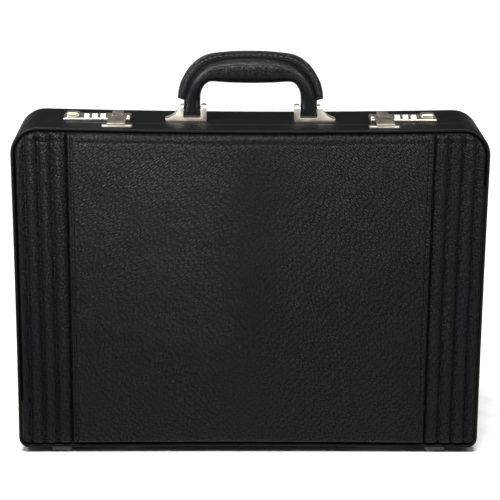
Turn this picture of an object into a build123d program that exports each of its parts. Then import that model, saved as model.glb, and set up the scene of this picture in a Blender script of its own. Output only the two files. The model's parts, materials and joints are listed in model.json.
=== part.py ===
"""Attache case: two leather-covered board trays on a hinge, with locks, a handle and lid stays.

The case stands upright on its hinge edge. X runs along its width, Y from the lid (front)
to the base (back), and Z up. The origin is the centre of the foot print, on the floor.
All lengths are millimetres.
"""
import os
from math import cos, radians, sin

from build123d import *

# ---- driving dimensions ------------------------------------------------------------------
CASE_WIDTH = 457.0
WALL_BOTTOM = 6.0
WALL_TOP = 332.8
RIM_Y = 43.5
LID_DEPTH = 27.45
TOP_CORNER = 27.0
LOW_CORNER = 10.0
TOP_SAG = 2.4
LOW_SAG = 1.5
SIDE_SAG = 0.5

LEATHER = 1.4
BOARD = 3.2
LINING = 1.0
LIP = 3.2
PANEL_RECESS = 3.4
PANEL_STAND = 3.5
PANEL_INSET = 3.6
RIB_START = 174.2
RIB_GAP = 0.4
PANEL_EDGE = 2.5

FRAME_PLATE = 2.2
FRAME_INSET = 0.3
FRAME_LEG = 6.0
TONGUE_OUT = 3.4
TONGUE_CLEARANCE = 0.4
TONGUE = 1.4
HALF_GAP = 0.15
CLEAR = 0.3
RUNNING = 0.05

HINGE_X = 130.0
HINGE_LENGTH = 50.0
HINGE_Z = 3.4
KNUCKLE_R = 2.3
HINGE_PIN_R = 1.0
LEAF_DEPTH = 12.7
LEAF_TOP = 7.4
LEAF = 1.4
KNUCKLES = 5

LOCK_OUTER = 181.0
LOCK_INNER = 116.0
LOCK_FRONT = -6.8
LOCK_BACK = 18.0
LOCK_BED = 331.0
LOCK_TOP = 333.5
LOCK_CASE_OUTER = 179.5
LOCK_CASE_INNER = 117.5
LOCK_CASE_FRONT = -6.6
LOCK_CASE_BACK = 16.0
LOCK_CASE_FLOOR = 316.0
LOCK_CASE_WALL = 1.0

DIAL_X = (158.3, 150.4, 142.5)
DIAL_Y = 0.4
DIAL_Z = 330.8
DIAL_R = 5.5
DIAL_WIDTH = 4.4
DIAL_HUB_R = 1.5
DIAL_HUB_WIDTH = 7.3
DIAL_AXLE_R = 0.8
DIAL_NOTCHES = 10
DIAL_NOTCH_R = 0.45
DIAL_WINDOW_GAP = 0.4
BEARER_X = ((163.9, 162.5), (138.3, 136.9))
BEARER_HALF_DEPTH = 3.0

BUTTON_OUTER = 178.5
BUTTON_INNER = 165.5
BUTTON_Y = 3.9
BUTTON_DEPTH = 11.8
BUTTON_TOP = 337.6
BUTTON_TRAVEL = 4.0
BUTTON_CORNER = 2.5
STEM_X = (173.0, 169.2)
STEM_HALF_DEPTH = 2.5
STEM_BOTTOM = 327.0
RIDGE_X = (119.4, 116.6)
RIDGE_Y = (-5.0, 9.0)
RIDGE_TOP = 335.6
PLATE_CORNER = 1.5

HASP_X = 128.3
HASP_HALF = 8.8
HASP_AXIS_Y = -12.0
HASP_AXIS_Z = 335.6
HASP_KNUCKLE_R = 1.8
HASP_PIN_R = 0.8
HASP_END_Y = -36.4
HASP_SHEET = 1.6
HASP_CENTRE_HALF = 4.2
HASP_NECK_GAP = 0.5
HASP_BEND_TOP = (-24.0, 337.0)
HASP_BEND_UNDER = (-26.0, 335.2)
HASP_GAP = 0.4
TONGUE_HALF = 5.2
TONGUE_BACK = 8.0
TONGUE_TOP = 338.9

CATCH_X = 127.4
CATCH_LENGTH = 29.6
CATCH_Y = -33.0
CATCH_WIDTH = 6.2
CATCH_TOP = 333.2
CATCH_CORNER = 1.5
CATCH_EDGE = 0.6

HANDLE_Y = 1.4
HANDLE_PIN_Z = 342.6
HANDLE_PIN_R = 1.5
BRACKET_DEPTH = 12.0
BRACKET_BED = 330.2
BRACKET_FLOOR = 333.6
BRACKET_INNER = 42.5
BRACKET_POST = 48.1
BRACKET_TIP = 82.4
BRACKET_POST_TOP = 346.6
BRACKET_ROUND = 4.2
BRACKET_TIP_Z = 332.6
GUSSET = ((64.9, 345.4), (65.8, 346.1), (67.6, 345.4), (72.4, 337.9))
PIN_ENDS = (44.0, 67.2)
RIVET_R = 2.0
RIVET_HEAD_R = 3.4
RIVET_TAIL = 323.6
BACKING_LOW = 324.7
BACKING_TOP = 325.8
BACKING_X = (41.0, 80.0)
BACKING_HALF = 5.0
LEG_INNER = 48.5
LEG_OUTER = 64.4
LEG_HALF_DEPTH = 5.4
LEG_BOTTOM = 336.8
GRIP_HALF_DEPTH = 10.5
GRIP_TOP = 392.4
GRIP_UNDER = 367.2
WELT_TOP = 398.6
WELT_HALF = 2.2
CORE_SHEET = 3.0
CORE_HALF_DEPTH = 4.0
CORE_OUTER = 57.9
CORE_TOP = 383.0
CORE_HEIGHT = 100.0
CORE_CORNER = 26.0
CORE_BOTTOM = 337.8
BORE_GAP = 0.4
CREASE = ((64.4, 349.9), (62.5, 356.5), (59.3, 367.0), (52.5, 377.8), (40.0, 388.2))
WELT = ((70.6, 352.2), (69.2, 362.0), (65.8, 371.5), (55.6, 386.6), (41.8, 395.2))
UNDER_ARC = ((48.5, 356.0), (45.6, 364.2), (38.5, 368.6))
GRIP_SWELL = (352.0, 376.0)

FOOT_X = 181.0
FOOT_R = 4.3
FOOT_PLATE_BOTTOM = 2.2
FOOT_PLATE_TOP = 7.0
FOOT_PLATE_OUTER = 197.0
FOOT_PLATE_INNER = 176.0
FOOT_PLATE_DEPTH = 12.0
LID_FOOT_Y = -35.0
BASE_FOOT_Y = 31.0
FOOT_PLATE_CORNER = 3.0
STUD_SHANK_R = 1.6
STUD_SHANK_TOP = 5.5
STUD_FLAT_R = 1.8
STUD_DOME_R = 3.4

STAY_OFFSET = 6.4
STAY_HEIGHT = 29.3
STAY_X = 216.5
STAY_SHEET = 1.5
STAY_WIDTH = 8.0
STAY_LENGTH = 57.0
STAY_RIVET_R = 2.0
GUIDE_HALF = 4.5
GUIDE_WALL = 2.0
GUIDE_RIM = 1.3
GUIDE_CORNER = 1.5
WALL_FACE = 222.7
HEAD_R = 3.4
HEAD = 1.0
LID_SPACER_R = 2.6
BASE_SPACER_R = 3.2
SUNK_HEAD_R = 2.8
SUNK_HEAD = 0.7

POCKET_HALF = 190.0
POCKET_BOTTOM = 20.0
POCKET_MOUTH = 208.0
POCKET_SHEET = 1.6
POCKET_DEPTH = 8.0
PEN_LOOPS_X = (150.0, 166.0)
PEN_LOOP_R = 5.6
PEN_LOOP_BORE = 4.6
PEN_LOOP_LOW = 226.0
PEN_LOOP_HEIGHT = 30.0
PEN_STRIP_END = 9.0
CARD_X = (-170.0, -70.0)
CARD_LOWS = (60.0, 118.0)
CARD_HEIGHT = 54.0
CARD_SHEET = 1.2

# ---- positions worked out from them ------------------------------------------------------
SEAM_Y = -RIM_Y + LID_DEPTH
SIDES = {"left": -1, "right": 1}
LID_EDGE = SEAM_Y - HALF_GAP
BASE_EDGE = SEAM_Y + HALF_GAP
LID_BOARD = LID_EDGE - FRAME_PLATE
BASE_BOARD = BASE_EDGE + FRAME_PLATE
PLATE_OUTER = RIM_Y - PANEL_RECESS
PLATE_INNER = PLATE_OUTER - BOARD
LINED = PLATE_INNER - LINING
CAVITY_INSET = LEATHER + BOARD
LINED_INSET = CAVITY_INSET + LINING
TONGUE_INSET = LINED_INSET + TONGUE_CLEARANCE
LIP_THICK = LEATHER
RIVET_X = tuple(side * x for side in SIDES.values() for x in (45.6, 74.5))
KNUCKLE_PITCH = HINGE_LENGTH / KNUCKLES
DIAL_WINDOW = DIAL_WIDTH + 2 * CLEAR
DIAL_WINDOW_HALF = DIAL_R + DIAL_WINDOW_GAP
NECK_BACK = HASP_AXIS_Y + HASP_KNUCKLE_R + HASP_NECK_GAP
STAY_Z = HINGE_Z + STAY_HEIGHT
STAY_LID_Y = SEAM_Y - STAY_OFFSET
STAY_BASE_Y = SEAM_Y + STAY_OFFSET
POCKET_BACK = -LINED
POCKET_FRONT = POCKET_BACK + POCKET_DEPTH


# ---- small helpers -----------------------------------------------------------------------
def facing_front(y):
    """Plane at depth y, drawn as seen from the front. Extruding goes towards the front."""
    return Plane.XZ.offset(-y)


def facing_side(x):
    """Plane at x, with the sketch's x along +Y and its y along +Z. Extruding goes to +X."""
    return Plane.YZ.offset(x)


def block(x, y, z, mode=Mode.ADD):
    """A box between two values on each axis, given in either order."""
    with Locations(((x[0] + x[1]) / 2, (y[0] + y[1]) / 2, (z[0] + z[1]) / 2)):
        Box(abs(x[1] - x[0]), abs(y[1] - y[0]), abs(z[1] - z[0]), mode=mode)


def rod_x(x, y, z, radius, mode=Mode.ADD):
    """A round rod along X between two x values, given in either order."""
    with Locations(Location(((x[0] + x[1]) / 2, y, z), (0, 90, 0))):
        Cylinder(radius, abs(x[1] - x[0]), mode=mode)


def rod_z(x, y, z, radius, mode=Mode.ADD):
    """An upright round rod between two z values."""
    with Locations((x, y, (z[0] + z[1]) / 2)):
        Cylinder(radius, abs(z[1] - z[0]), mode=mode)


def case_outline(inset):
    """The case seen from the front: a rounded rectangle whose sides bow slightly inwards."""
    right = CASE_WIDTH / 2 - inset
    top = WALL_TOP - inset
    low = WALL_BOTTOM + inset
    top_r = TOP_CORNER - inset
    low_r = LOW_CORNER - inset
    middle = (WALL_TOP + WALL_BOTTOM) / 2
    with BuildSketch() as outline:
        with BuildLine():
            ThreePointArc((top_r - right, top), (0, top - TOP_SAG), (right - top_r, top))
            CenterArc((right - top_r, top - top_r), top_r, 0, 90)
            ThreePointArc((right, top - top_r), (right - SIDE_SAG, middle), (right, low + low_r))
            CenterArc((right - low_r, low + low_r), low_r, 270, 90)
            ThreePointArc((right - low_r, low), (0, low + LOW_SAG), (low_r - right, low))
            CenterArc((low_r - right, low + low_r), low_r, 180, 90)
            ThreePointArc((-right, low + low_r), (SIDE_SAG - right, middle), (-right, top - top_r))
            CenterArc((top_r - right, top - top_r), top_r, 90, 90)
        make_face()
    return outline.sketch


def case_layer(inset, y, mode=Mode.ADD):
    """A slab of the case's outline between two depths."""
    with BuildPart(mode=Mode.PRIVATE) as slab:
        with BuildSketch(facing_front(max(y))):
            add(case_outline(inset))
        extrude(amount=abs(y[1] - y[0]))
    add(slab.part, mode=mode)


def cut_hinge_pockets():
    """Cuts the shallow pockets under the case that the hinge leaves lie in."""
    reach = HINGE_LENGTH / 2 + CLEAR
    depth = LEAF_DEPTH + CLEAR
    for side in SIDES.values():
        x = side * HINGE_X
        block((x - reach, x + reach), (SEAM_Y - depth, SEAM_Y + depth), (0, LEAF_TOP), Mode.SUBTRACT)


def cut_lock_wells():
    """Cuts the openings in the top wall that the lock cases hang in."""
    for side in SIDES.values():
        x = (side * LOCK_CASE_OUTER, side * LOCK_CASE_INNER)
        block(x, (LOCK_CASE_FRONT, LOCK_CASE_BACK), (LOCK_CASE_FLOOR, WALL_TOP + 1), Mode.SUBTRACT)


def cut_rivet_holes():
    """Cuts the holes through the top wall for the handle rivets."""
    for x in RIVET_X:
        rod_z(x, HANDLE_Y, (RIVET_TAIL, BRACKET_BED + 1), RIVET_R, Mode.SUBTRACT)


def save(piece, label):
    """Names a finished piece and writes it out."""
    piece.part.label = label
    export_step(piece.part, f"parts/{label}.step")


os.makedirs("parts", exist_ok=True)

# ---- trays: board shells, leather covers and linings -------------------------------------
with BuildPart() as base_shell:
    case_layer(LEATHER, (BASE_BOARD, RIM_Y - LIP_THICK))
    case_layer(LIP, (PLATE_OUTER, RIM_Y), Mode.SUBTRACT)
    case_layer(CAVITY_INSET, (BASE_BOARD, PLATE_INNER), Mode.SUBTRACT)
    cut_lock_wells()
    cut_rivet_holes()
save(base_shell, "base_shell")

with BuildPart() as lid_shell:
    case_layer(LEATHER, (LID_BOARD, LIP_THICK - RIM_Y))
    case_layer(LIP, (-PLATE_OUTER, -RIM_Y), Mode.SUBTRACT)
    case_layer(CAVITY_INSET, (LID_BOARD, -PLATE_INNER), Mode.SUBTRACT)
save(lid_shell, "lid_shell")

with BuildPart() as base_wall_cover:
    case_layer(0, (BASE_BOARD, RIM_Y))
    case_layer(LEATHER, (BASE_BOARD, RIM_Y - LIP_THICK), Mode.SUBTRACT)
    case_layer(LIP, (RIM_Y - LIP_THICK, RIM_Y), Mode.SUBTRACT)
    cut_hinge_pockets()
    cut_lock_wells()
    cut_rivet_holes()
    for side in SIDES.values():
        lock_x = (side * LOCK_OUTER, side * LOCK_INNER)
        block(lock_x, (LOCK_FRONT, LOCK_BACK), (LOCK_BED, WALL_TOP + 1), Mode.SUBTRACT)
        bracket_x = (side * BRACKET_INNER, side * BRACKET_TIP)
        bracket_y = (HANDLE_Y - BRACKET_DEPTH / 2, HANDLE_Y + BRACKET_DEPTH / 2)
        block(bracket_x, bracket_y, (BRACKET_BED, WALL_TOP + 1), Mode.SUBTRACT)
        foot_x = (side * FOOT_PLATE_INNER, side * FOOT_PLATE_OUTER)
        foot_y = (BASE_FOOT_Y - FOOT_PLATE_DEPTH / 2, BASE_FOOT_Y + FOOT_PLATE_DEPTH / 2)
        block(foot_x, foot_y, (0, FOOT_PLATE_TOP), Mode.SUBTRACT)
save(base_wall_cover, "base_wall_cover")

with BuildPart() as lid_wall_cover:
    case_layer(0, (LID_BOARD, -RIM_Y))
    case_layer(LEATHER, (LID_BOARD, LIP_THICK - RIM_Y), Mode.SUBTRACT)
    case_layer(LIP, (LIP_THICK - RIM_Y, -RIM_Y), Mode.SUBTRACT)
    cut_hinge_pockets()
    for side in SIDES.values():
        catch_x = (side * CATCH_X - CATCH_LENGTH / 2, side * CATCH_X + CATCH_LENGTH / 2)
        catch_y = (CATCH_Y - CATCH_WIDTH / 2, CATCH_Y + CATCH_WIDTH / 2)
        block(catch_x, catch_y, (LOCK_BED, WALL_TOP + 1), Mode.SUBTRACT)
        foot_x = (side * FOOT_PLATE_INNER, side * FOOT_PLATE_OUTER)
        foot_y = (LID_FOOT_Y - FOOT_PLATE_DEPTH / 2, LID_FOOT_Y + FOOT_PLATE_DEPTH / 2)
        block(foot_x, foot_y, (0, FOOT_PLATE_TOP), Mode.SUBTRACT)
save(lid_wall_cover, "lid_wall_cover")

with BuildPart() as base_lining:
    case_layer(CAVITY_INSET, (BASE_BOARD + FRAME_LEG, PLATE_INNER))
    case_layer(LINED_INSET, (BASE_BOARD + FRAME_LEG, LINED), Mode.SUBTRACT)
    cut_lock_wells()
    for side in SIDES.values():
        plate_x = (side * BACKING_X[0], side * BACKING_X[1])
        plate_y = (HANDLE_Y - BACKING_HALF, HANDLE_Y + BACKING_HALF)
        block(plate_x, plate_y, (RIVET_TAIL, WALL_TOP), Mode.SUBTRACT)
save(base_lining, "base_lining")

with BuildPart() as lid_lining:
    case_layer(CAVITY_INSET, (LID_BOARD - FRAME_LEG, -PLATE_INNER))
    case_layer(LINED_INSET, (LID_BOARD - FRAME_LEG, -LINED), Mode.SUBTRACT)
save(lid_lining, "lid_lining")

# ---- metal frames that meet at the seam --------------------------------------------------
with BuildPart() as base_frame:
    case_layer(FRAME_INSET, (BASE_EDGE, BASE_BOARD))
    case_layer(CAVITY_INSET, (BASE_BOARD, BASE_BOARD + FRAME_LEG))
    case_layer(LINED_INSET, (BASE_BOARD, BASE_BOARD + FRAME_LEG), Mode.SUBTRACT)
    case_layer(TONGUE_INSET, (BASE_EDGE, BASE_EDGE - TONGUE_OUT))
    case_layer(TONGUE_INSET + TONGUE, (BASE_BOARD + 1, BASE_EDGE - TONGUE_OUT - 1), Mode.SUBTRACT)
    cut_hinge_pockets()
save(base_frame, "base_frame")

with BuildPart() as lid_frame:
    case_layer(FRAME_INSET, (LID_EDGE, LID_BOARD))
    case_layer(CAVITY_INSET, (LID_BOARD, LID_BOARD - FRAME_LEG))
    case_layer(LINED_INSET, (LID_EDGE + 1, LID_BOARD - FRAME_LEG - 1), Mode.SUBTRACT)
    cut_hinge_pockets()
save(lid_frame, "lid_frame")

# ---- padded leather panels, front and back -----------------------------------------------
def padded_panel(front, x):
    """One padded panel of the front (-1) or back (1), cut from the outline between two x."""
    back_y = front * PLATE_OUTER
    crown_y = front * (RIM_Y + PANEL_STAND)
    with BuildPart() as panel:
        case_layer(PANEL_INSET, (back_y, crown_y))
        block(x, (back_y - front, crown_y + front), (0, WALL_TOP + 1), Mode.INTERSECT)
        crown = panel.faces().sort_by(Axis.Y)[0 if front < 0 else -1]
        fillet(crown.edges(), PANEL_EDGE)
    return panel


for half, name, front in (("lid", "front", -1), ("base", "back", 1)):
    save(padded_panel(front, (-RIB_START, RIB_START)), f"{half}_{name}_panel")
    for side_name, side in SIDES.items():
        rib_x = (side * (RIB_START + RIB_GAP), side * CASE_WIDTH / 2)
        save(padded_panel(front, rib_x), f"{half}_rib_panel_{side_name}")

# ---- hinges under the seam ---------------------------------------------------------------
def hinge_leaves(towards, first):
    """Both leaves of one half. towards is +1 for the base; first is its first knuckle."""
    with BuildPart() as leaves:
        for side in SIDES.values():
            start = side * HINGE_X - HINGE_LENGTH / 2
            near = SEAM_Y + towards * CLEAR
            far = SEAM_Y + towards * LEAF_DEPTH
            block((start, start + HINGE_LENGTH), (near, far), (LEAF_TOP - LEAF, LEAF_TOP))
            for index in range(first, KNUCKLES, 2):
                low = start + index * KNUCKLE_PITCH + CLEAR / 2
                high = low + KNUCKLE_PITCH - CLEAR
                rod_x((low, high), SEAM_Y, HINGE_Z, KNUCKLE_R)
                web_y = (near, SEAM_Y + towards * KNUCKLE_R)
                block((low, high), web_y, (HINGE_Z, LEAF_TOP - LEAF))
        for side in SIDES.values():
            start = side * HINGE_X - HINGE_LENGTH / 2
            bore = HINGE_PIN_R if towards > 0 else HINGE_PIN_R + RUNNING
            rod_x((start, start + HINGE_LENGTH), SEAM_Y, HINGE_Z, bore, Mode.SUBTRACT)
    return leaves


save(hinge_leaves(1, 0), "hinge_base_leaves")
save(hinge_leaves(-1, 1), "hinge_lid_leaves")

with BuildPart() as hinge_pins:
    for side in SIDES.values():
        start = side * HINGE_X - HINGE_LENGTH / 2
        rod_x((start, start + HINGE_LENGTH), SEAM_Y, HINGE_Z, HINGE_PIN_R)
save(hinge_pins, "hinge_pins")

# ---- feet --------------------------------------------------------------------------------
for half, foot_y in (("lid", LID_FOOT_Y), ("base", BASE_FOOT_Y)):
    with BuildPart() as foot_plates:
        for side in SIDES.values():
            x = side * (FOOT_PLATE_INNER + FOOT_PLATE_OUTER) / 2
            length = FOOT_PLATE_OUTER - FOOT_PLATE_INNER
            with BuildSketch(Plane.XY.offset(FOOT_PLATE_BOTTOM)):
                with Locations((x, foot_y)):
                    RectangleRounded(length, FOOT_PLATE_DEPTH, FOOT_PLATE_CORNER)
            extrude(amount=FOOT_PLATE_TOP - FOOT_PLATE_BOTTOM)
        lowest = foot_plates.faces().group_by(Axis.Z)[0]
        chamfer(lowest.edges(), 1.0)
        for side in SIDES.values():
            shank_z = (FOOT_PLATE_BOTTOM, STUD_SHANK_TOP)
            rod_z(side * FOOT_X, foot_y, shank_z, STUD_SHANK_R, Mode.SUBTRACT)
    save(foot_plates, f"{half}_foot_plates")

    with BuildPart() as feet:
        for side in SIDES.values():
            with BuildSketch(Plane.XZ.offset(-foot_y)):
                with BuildLine():
                    stud_x = side * FOOT_X
                    Line((stud_x, 0), (stud_x + STUD_FLAT_R, 0))
                    flat_edge = (stud_x + STUD_FLAT_R, 0)
                    RadiusArc(flat_edge, (stud_x + FOOT_R, FOOT_PLATE_BOTTOM), -STUD_DOME_R)
                    Polyline(
                        (stud_x + FOOT_R, FOOT_PLATE_BOTTOM),
                        (stud_x + STUD_SHANK_R, FOOT_PLATE_BOTTOM),
                        (stud_x + STUD_SHANK_R, STUD_SHANK_TOP),
                        (stud_x, STUD_SHANK_TOP),
                        (stud_x, 0),
                    )
                make_face()
            revolve(axis=Axis((side * FOOT_X, foot_y, 0), (0, 0, 1)))
    save(feet, f"{half}_feet")

# ---- handle brackets, their backing plates, rivets and pins -------------------------------
for side_name, side in SIDES.items():
    with BuildPart() as handle_bracket:
        with BuildSketch(facing_front(HANDLE_Y + BRACKET_DEPTH / 2)):
            with BuildLine():
                Polyline(
                    (side * (BRACKET_TIP - 1), BRACKET_BED),
                    (side * BRACKET_INNER, BRACKET_BED),
                    (side * BRACKET_INNER, BRACKET_POST_TOP - 2),
                )
                ThreePointArc(
                    (side * BRACKET_INNER, BRACKET_POST_TOP - 2),
                    (side * (BRACKET_INNER + 2.4), BRACKET_POST_TOP),
                    (side * (BRACKET_POST - 0.6), BRACKET_POST_TOP - 1.6),
                )
                Polyline(
                    (side * (BRACKET_POST - 0.6), BRACKET_POST_TOP - 1.6),
                    (side * BRACKET_POST, BRACKET_POST_TOP - 3),
                    (side * BRACKET_POST, BRACKET_FLOOR),
                    (side * GUSSET[0][0], BRACKET_FLOOR),
                    (side * GUSSET[0][0], GUSSET[0][1]),
                    (side * GUSSET[1][0], GUSSET[1][1]),
                    (side * GUSSET[2][0], GUSSET[2][1]),
                )
                ThreePointArc(
                    (side * GUSSET[2][0], GUSSET[2][1]),
                    (side * GUSSET[3][0], GUSSET[3][1]),
                    (side * BRACKET_TIP, BRACKET_TIP_Z),
                )
                Line((side * BRACKET_TIP, BRACKET_TIP_Z), (side * (BRACKET_TIP - 1), BRACKET_BED))
            make_face()
        extrude(amount=BRACKET_DEPTH)
        with BuildSketch(facing_side(min(side * BRACKET_INNER, side * BRACKET_TIP))) as side_view:
            with Locations((HANDLE_Y, (BRACKET_BED + BRACKET_POST_TOP) / 2)):
                Rectangle(BRACKET_DEPTH, BRACKET_POST_TOP - BRACKET_BED)
            fillet(side_view.vertices().group_by(Axis.Y)[-1], BRACKET_ROUND)
        extrude(amount=BRACKET_TIP - BRACKET_INNER, mode=Mode.INTERSECT)
        pin_x = (side * PIN_ENDS[0], side * PIN_ENDS[1])
        rod_x(pin_x, HANDLE_Y, HANDLE_PIN_Z, HANDLE_PIN_R, Mode.SUBTRACT)
        for x in RIVET_X:
            rod_z(x, HANDLE_Y, (BRACKET_BED, BRACKET_BED + 2), RIVET_R, Mode.SUBTRACT)
    save(handle_bracket, f"handle_bracket_{side_name}")

with BuildPart() as handle_backing_plates:
    for side in SIDES.values():
        plate_x = (side * BACKING_X[0], side * BACKING_X[1])
        plate_y = (HANDLE_Y - BACKING_HALF, HANDLE_Y + BACKING_HALF)
        block(plate_x, plate_y, (BACKING_LOW, BACKING_TOP))
    for x in RIVET_X:
        rod_z(x, HANDLE_Y, (BACKING_LOW, BACKING_TOP), RIVET_R, Mode.SUBTRACT)
save(handle_backing_plates, "handle_backing_plates")

with BuildPart() as handle_rivets:
    for x in RIVET_X:
        rod_z(x, HANDLE_Y, (RIVET_TAIL, BRACKET_BED + 2), RIVET_R)
        rod_z(x, HANDLE_Y, (RIVET_TAIL, BACKING_LOW), RIVET_HEAD_R)
save(handle_rivets, "handle_rivets")

with BuildPart() as handle_pins:
    for side in SIDES.values():
        rod_x((side * PIN_ENDS[0], side * PIN_ENDS[1]), HANDLE_Y, HANDLE_PIN_Z, HANDLE_PIN_R)
save(handle_pins, "handle_pins")

# ---- handle: steel core, padded grip and the welt sewn round its outside --------------------
with BuildPart() as handle_core:
    with BuildSketch(facing_front(HANDLE_Y + CORE_HALF_DEPTH)) as strap:
        with Locations((0, CORE_TOP - CORE_HEIGHT / 2)):
            RectangleRounded(2 * CORE_OUTER, CORE_HEIGHT, CORE_CORNER)
            inner_width = 2 * (CORE_OUTER - CORE_SHEET)
            inner_height = CORE_HEIGHT - 2 * CORE_SHEET
            RectangleRounded(inner_width, inner_height, CORE_CORNER - CORE_SHEET, mode=Mode.SUBTRACT)
        with Locations((0, CORE_BOTTOM - CORE_HEIGHT / 2)):
            Rectangle(4 * CORE_OUTER, CORE_HEIGHT, mode=Mode.SUBTRACT)
    extrude(amount=2 * CORE_HALF_DEPTH)
    fillet(handle_core.edges().filter_by(Axis.X).group_by(Axis.Z)[0], CORE_HALF_DEPTH - 0.2)
    bore_x = (-CORE_OUTER - 1, CORE_OUTER + 1)
    rod_x(bore_x, HANDLE_Y, HANDLE_PIN_Z, HANDLE_PIN_R + RUNNING, Mode.SUBTRACT)
save(handle_core, "handle_core")

with BuildPart() as handle_grip:
    with BuildSketch(facing_front(HANDLE_Y + GRIP_HALF_DEPTH)):
        with BuildLine():
            Polyline(UNDER_ARC[0], (LEG_INNER, LEG_BOTTOM), (LEG_OUTER, LEG_BOTTOM), CREASE[0])
            ThreePointArc(CREASE[0], CREASE[1], CREASE[2])
            ThreePointArc(CREASE[2], CREASE[3], CREASE[4])
            ThreePointArc(CREASE[4], (0, GRIP_TOP), (-CREASE[4][0], CREASE[4][1]))
            for start, middle, end in ((4, 3, 2), (2, 1, 0)):
                points = [(-CREASE[i][0], CREASE[i][1]) for i in (start, middle, end)]
                ThreePointArc(*points)
            Polyline(
                (-LEG_OUTER, CREASE[0][1]),
                (-LEG_OUTER, LEG_BOTTOM),
                (-LEG_INNER, LEG_BOTTOM),
                (-UNDER_ARC[0][0], UNDER_ARC[0][1]),
            )
            left_arc = [(-x, z) for x, z in UNDER_ARC]
            ThreePointArc(left_arc[0], left_arc[1], left_arc[2])
            ThreePointArc(left_arc[2], (0, GRIP_UNDER), UNDER_ARC[2])
            ThreePointArc(UNDER_ARC[2], UNDER_ARC[1], UNDER_ARC[0])
        make_face()
    extrude(amount=2 * GRIP_HALF_DEPTH)
    with BuildSketch(facing_side(-LEG_OUTER - 1)):
        with BuildLine():
            for way in (1, -1):
                leg_y = HANDLE_Y + way * LEG_HALF_DEPTH
                grip_y = HANDLE_Y + way * GRIP_HALF_DEPTH
                Line((leg_y, LEG_BOTTOM + LEG_HALF_DEPTH), (leg_y, GRIP_SWELL[0]))
                Spline((leg_y, GRIP_SWELL[0]), (grip_y, GRIP_SWELL[1]), tangents=((0, 1), (0, 1)))
            low_mid = (HANDLE_Y, LEG_BOTTOM)
            ThreePointArc(
                (HANDLE_Y - LEG_HALF_DEPTH, LEG_BOTTOM + LEG_HALF_DEPTH),
                low_mid,
                (HANDLE_Y + LEG_HALF_DEPTH, LEG_BOTTOM + LEG_HALF_DEPTH),
            )
            ThreePointArc(
                (HANDLE_Y - GRIP_HALF_DEPTH, GRIP_SWELL[1]),
                (HANDLE_Y, GRIP_TOP),
                (HANDLE_Y + GRIP_HALF_DEPTH, GRIP_SWELL[1]),
            )
        make_face()
    extrude(amount=2 * LEG_OUTER + 2, mode=Mode.INTERSECT)
    add(handle_core.part, mode=Mode.SUBTRACT)
    bore_x = (-LEG_OUTER - 1, LEG_OUTER + 1)
    rod_x(bore_x, HANDLE_Y, HANDLE_PIN_Z, HANDLE_PIN_R + BORE_GAP, Mode.SUBTRACT)
save(handle_grip, "handle_grip")

with BuildPart() as handle_welt:
    with BuildSketch(facing_front(HANDLE_Y + WELT_HALF)):
        with BuildLine():
            for way in (1, -1):
                outer = [(way * x, z) for x, z in WELT]
                inner = [(way * x, z) for x, z in CREASE]
                Line(inner[0], outer[0])
                ThreePointArc(outer[0], outer[1], outer[2])
                ThreePointArc(outer[2], outer[3], outer[4])
                ThreePointArc(inner[0], inner[1], inner[2])
                ThreePointArc(inner[2], inner[3], inner[4])
            ThreePointArc(WELT[4], (0, WELT_TOP), (-WELT[4][0], WELT[4][1]))
            ThreePointArc(CREASE[4], (0, GRIP_TOP), (-CREASE[4][0], CREASE[4][1]))
        make_face()
    extrude(amount=2 * WELT_HALF)
save(handle_welt, "handle_welt")

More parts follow.
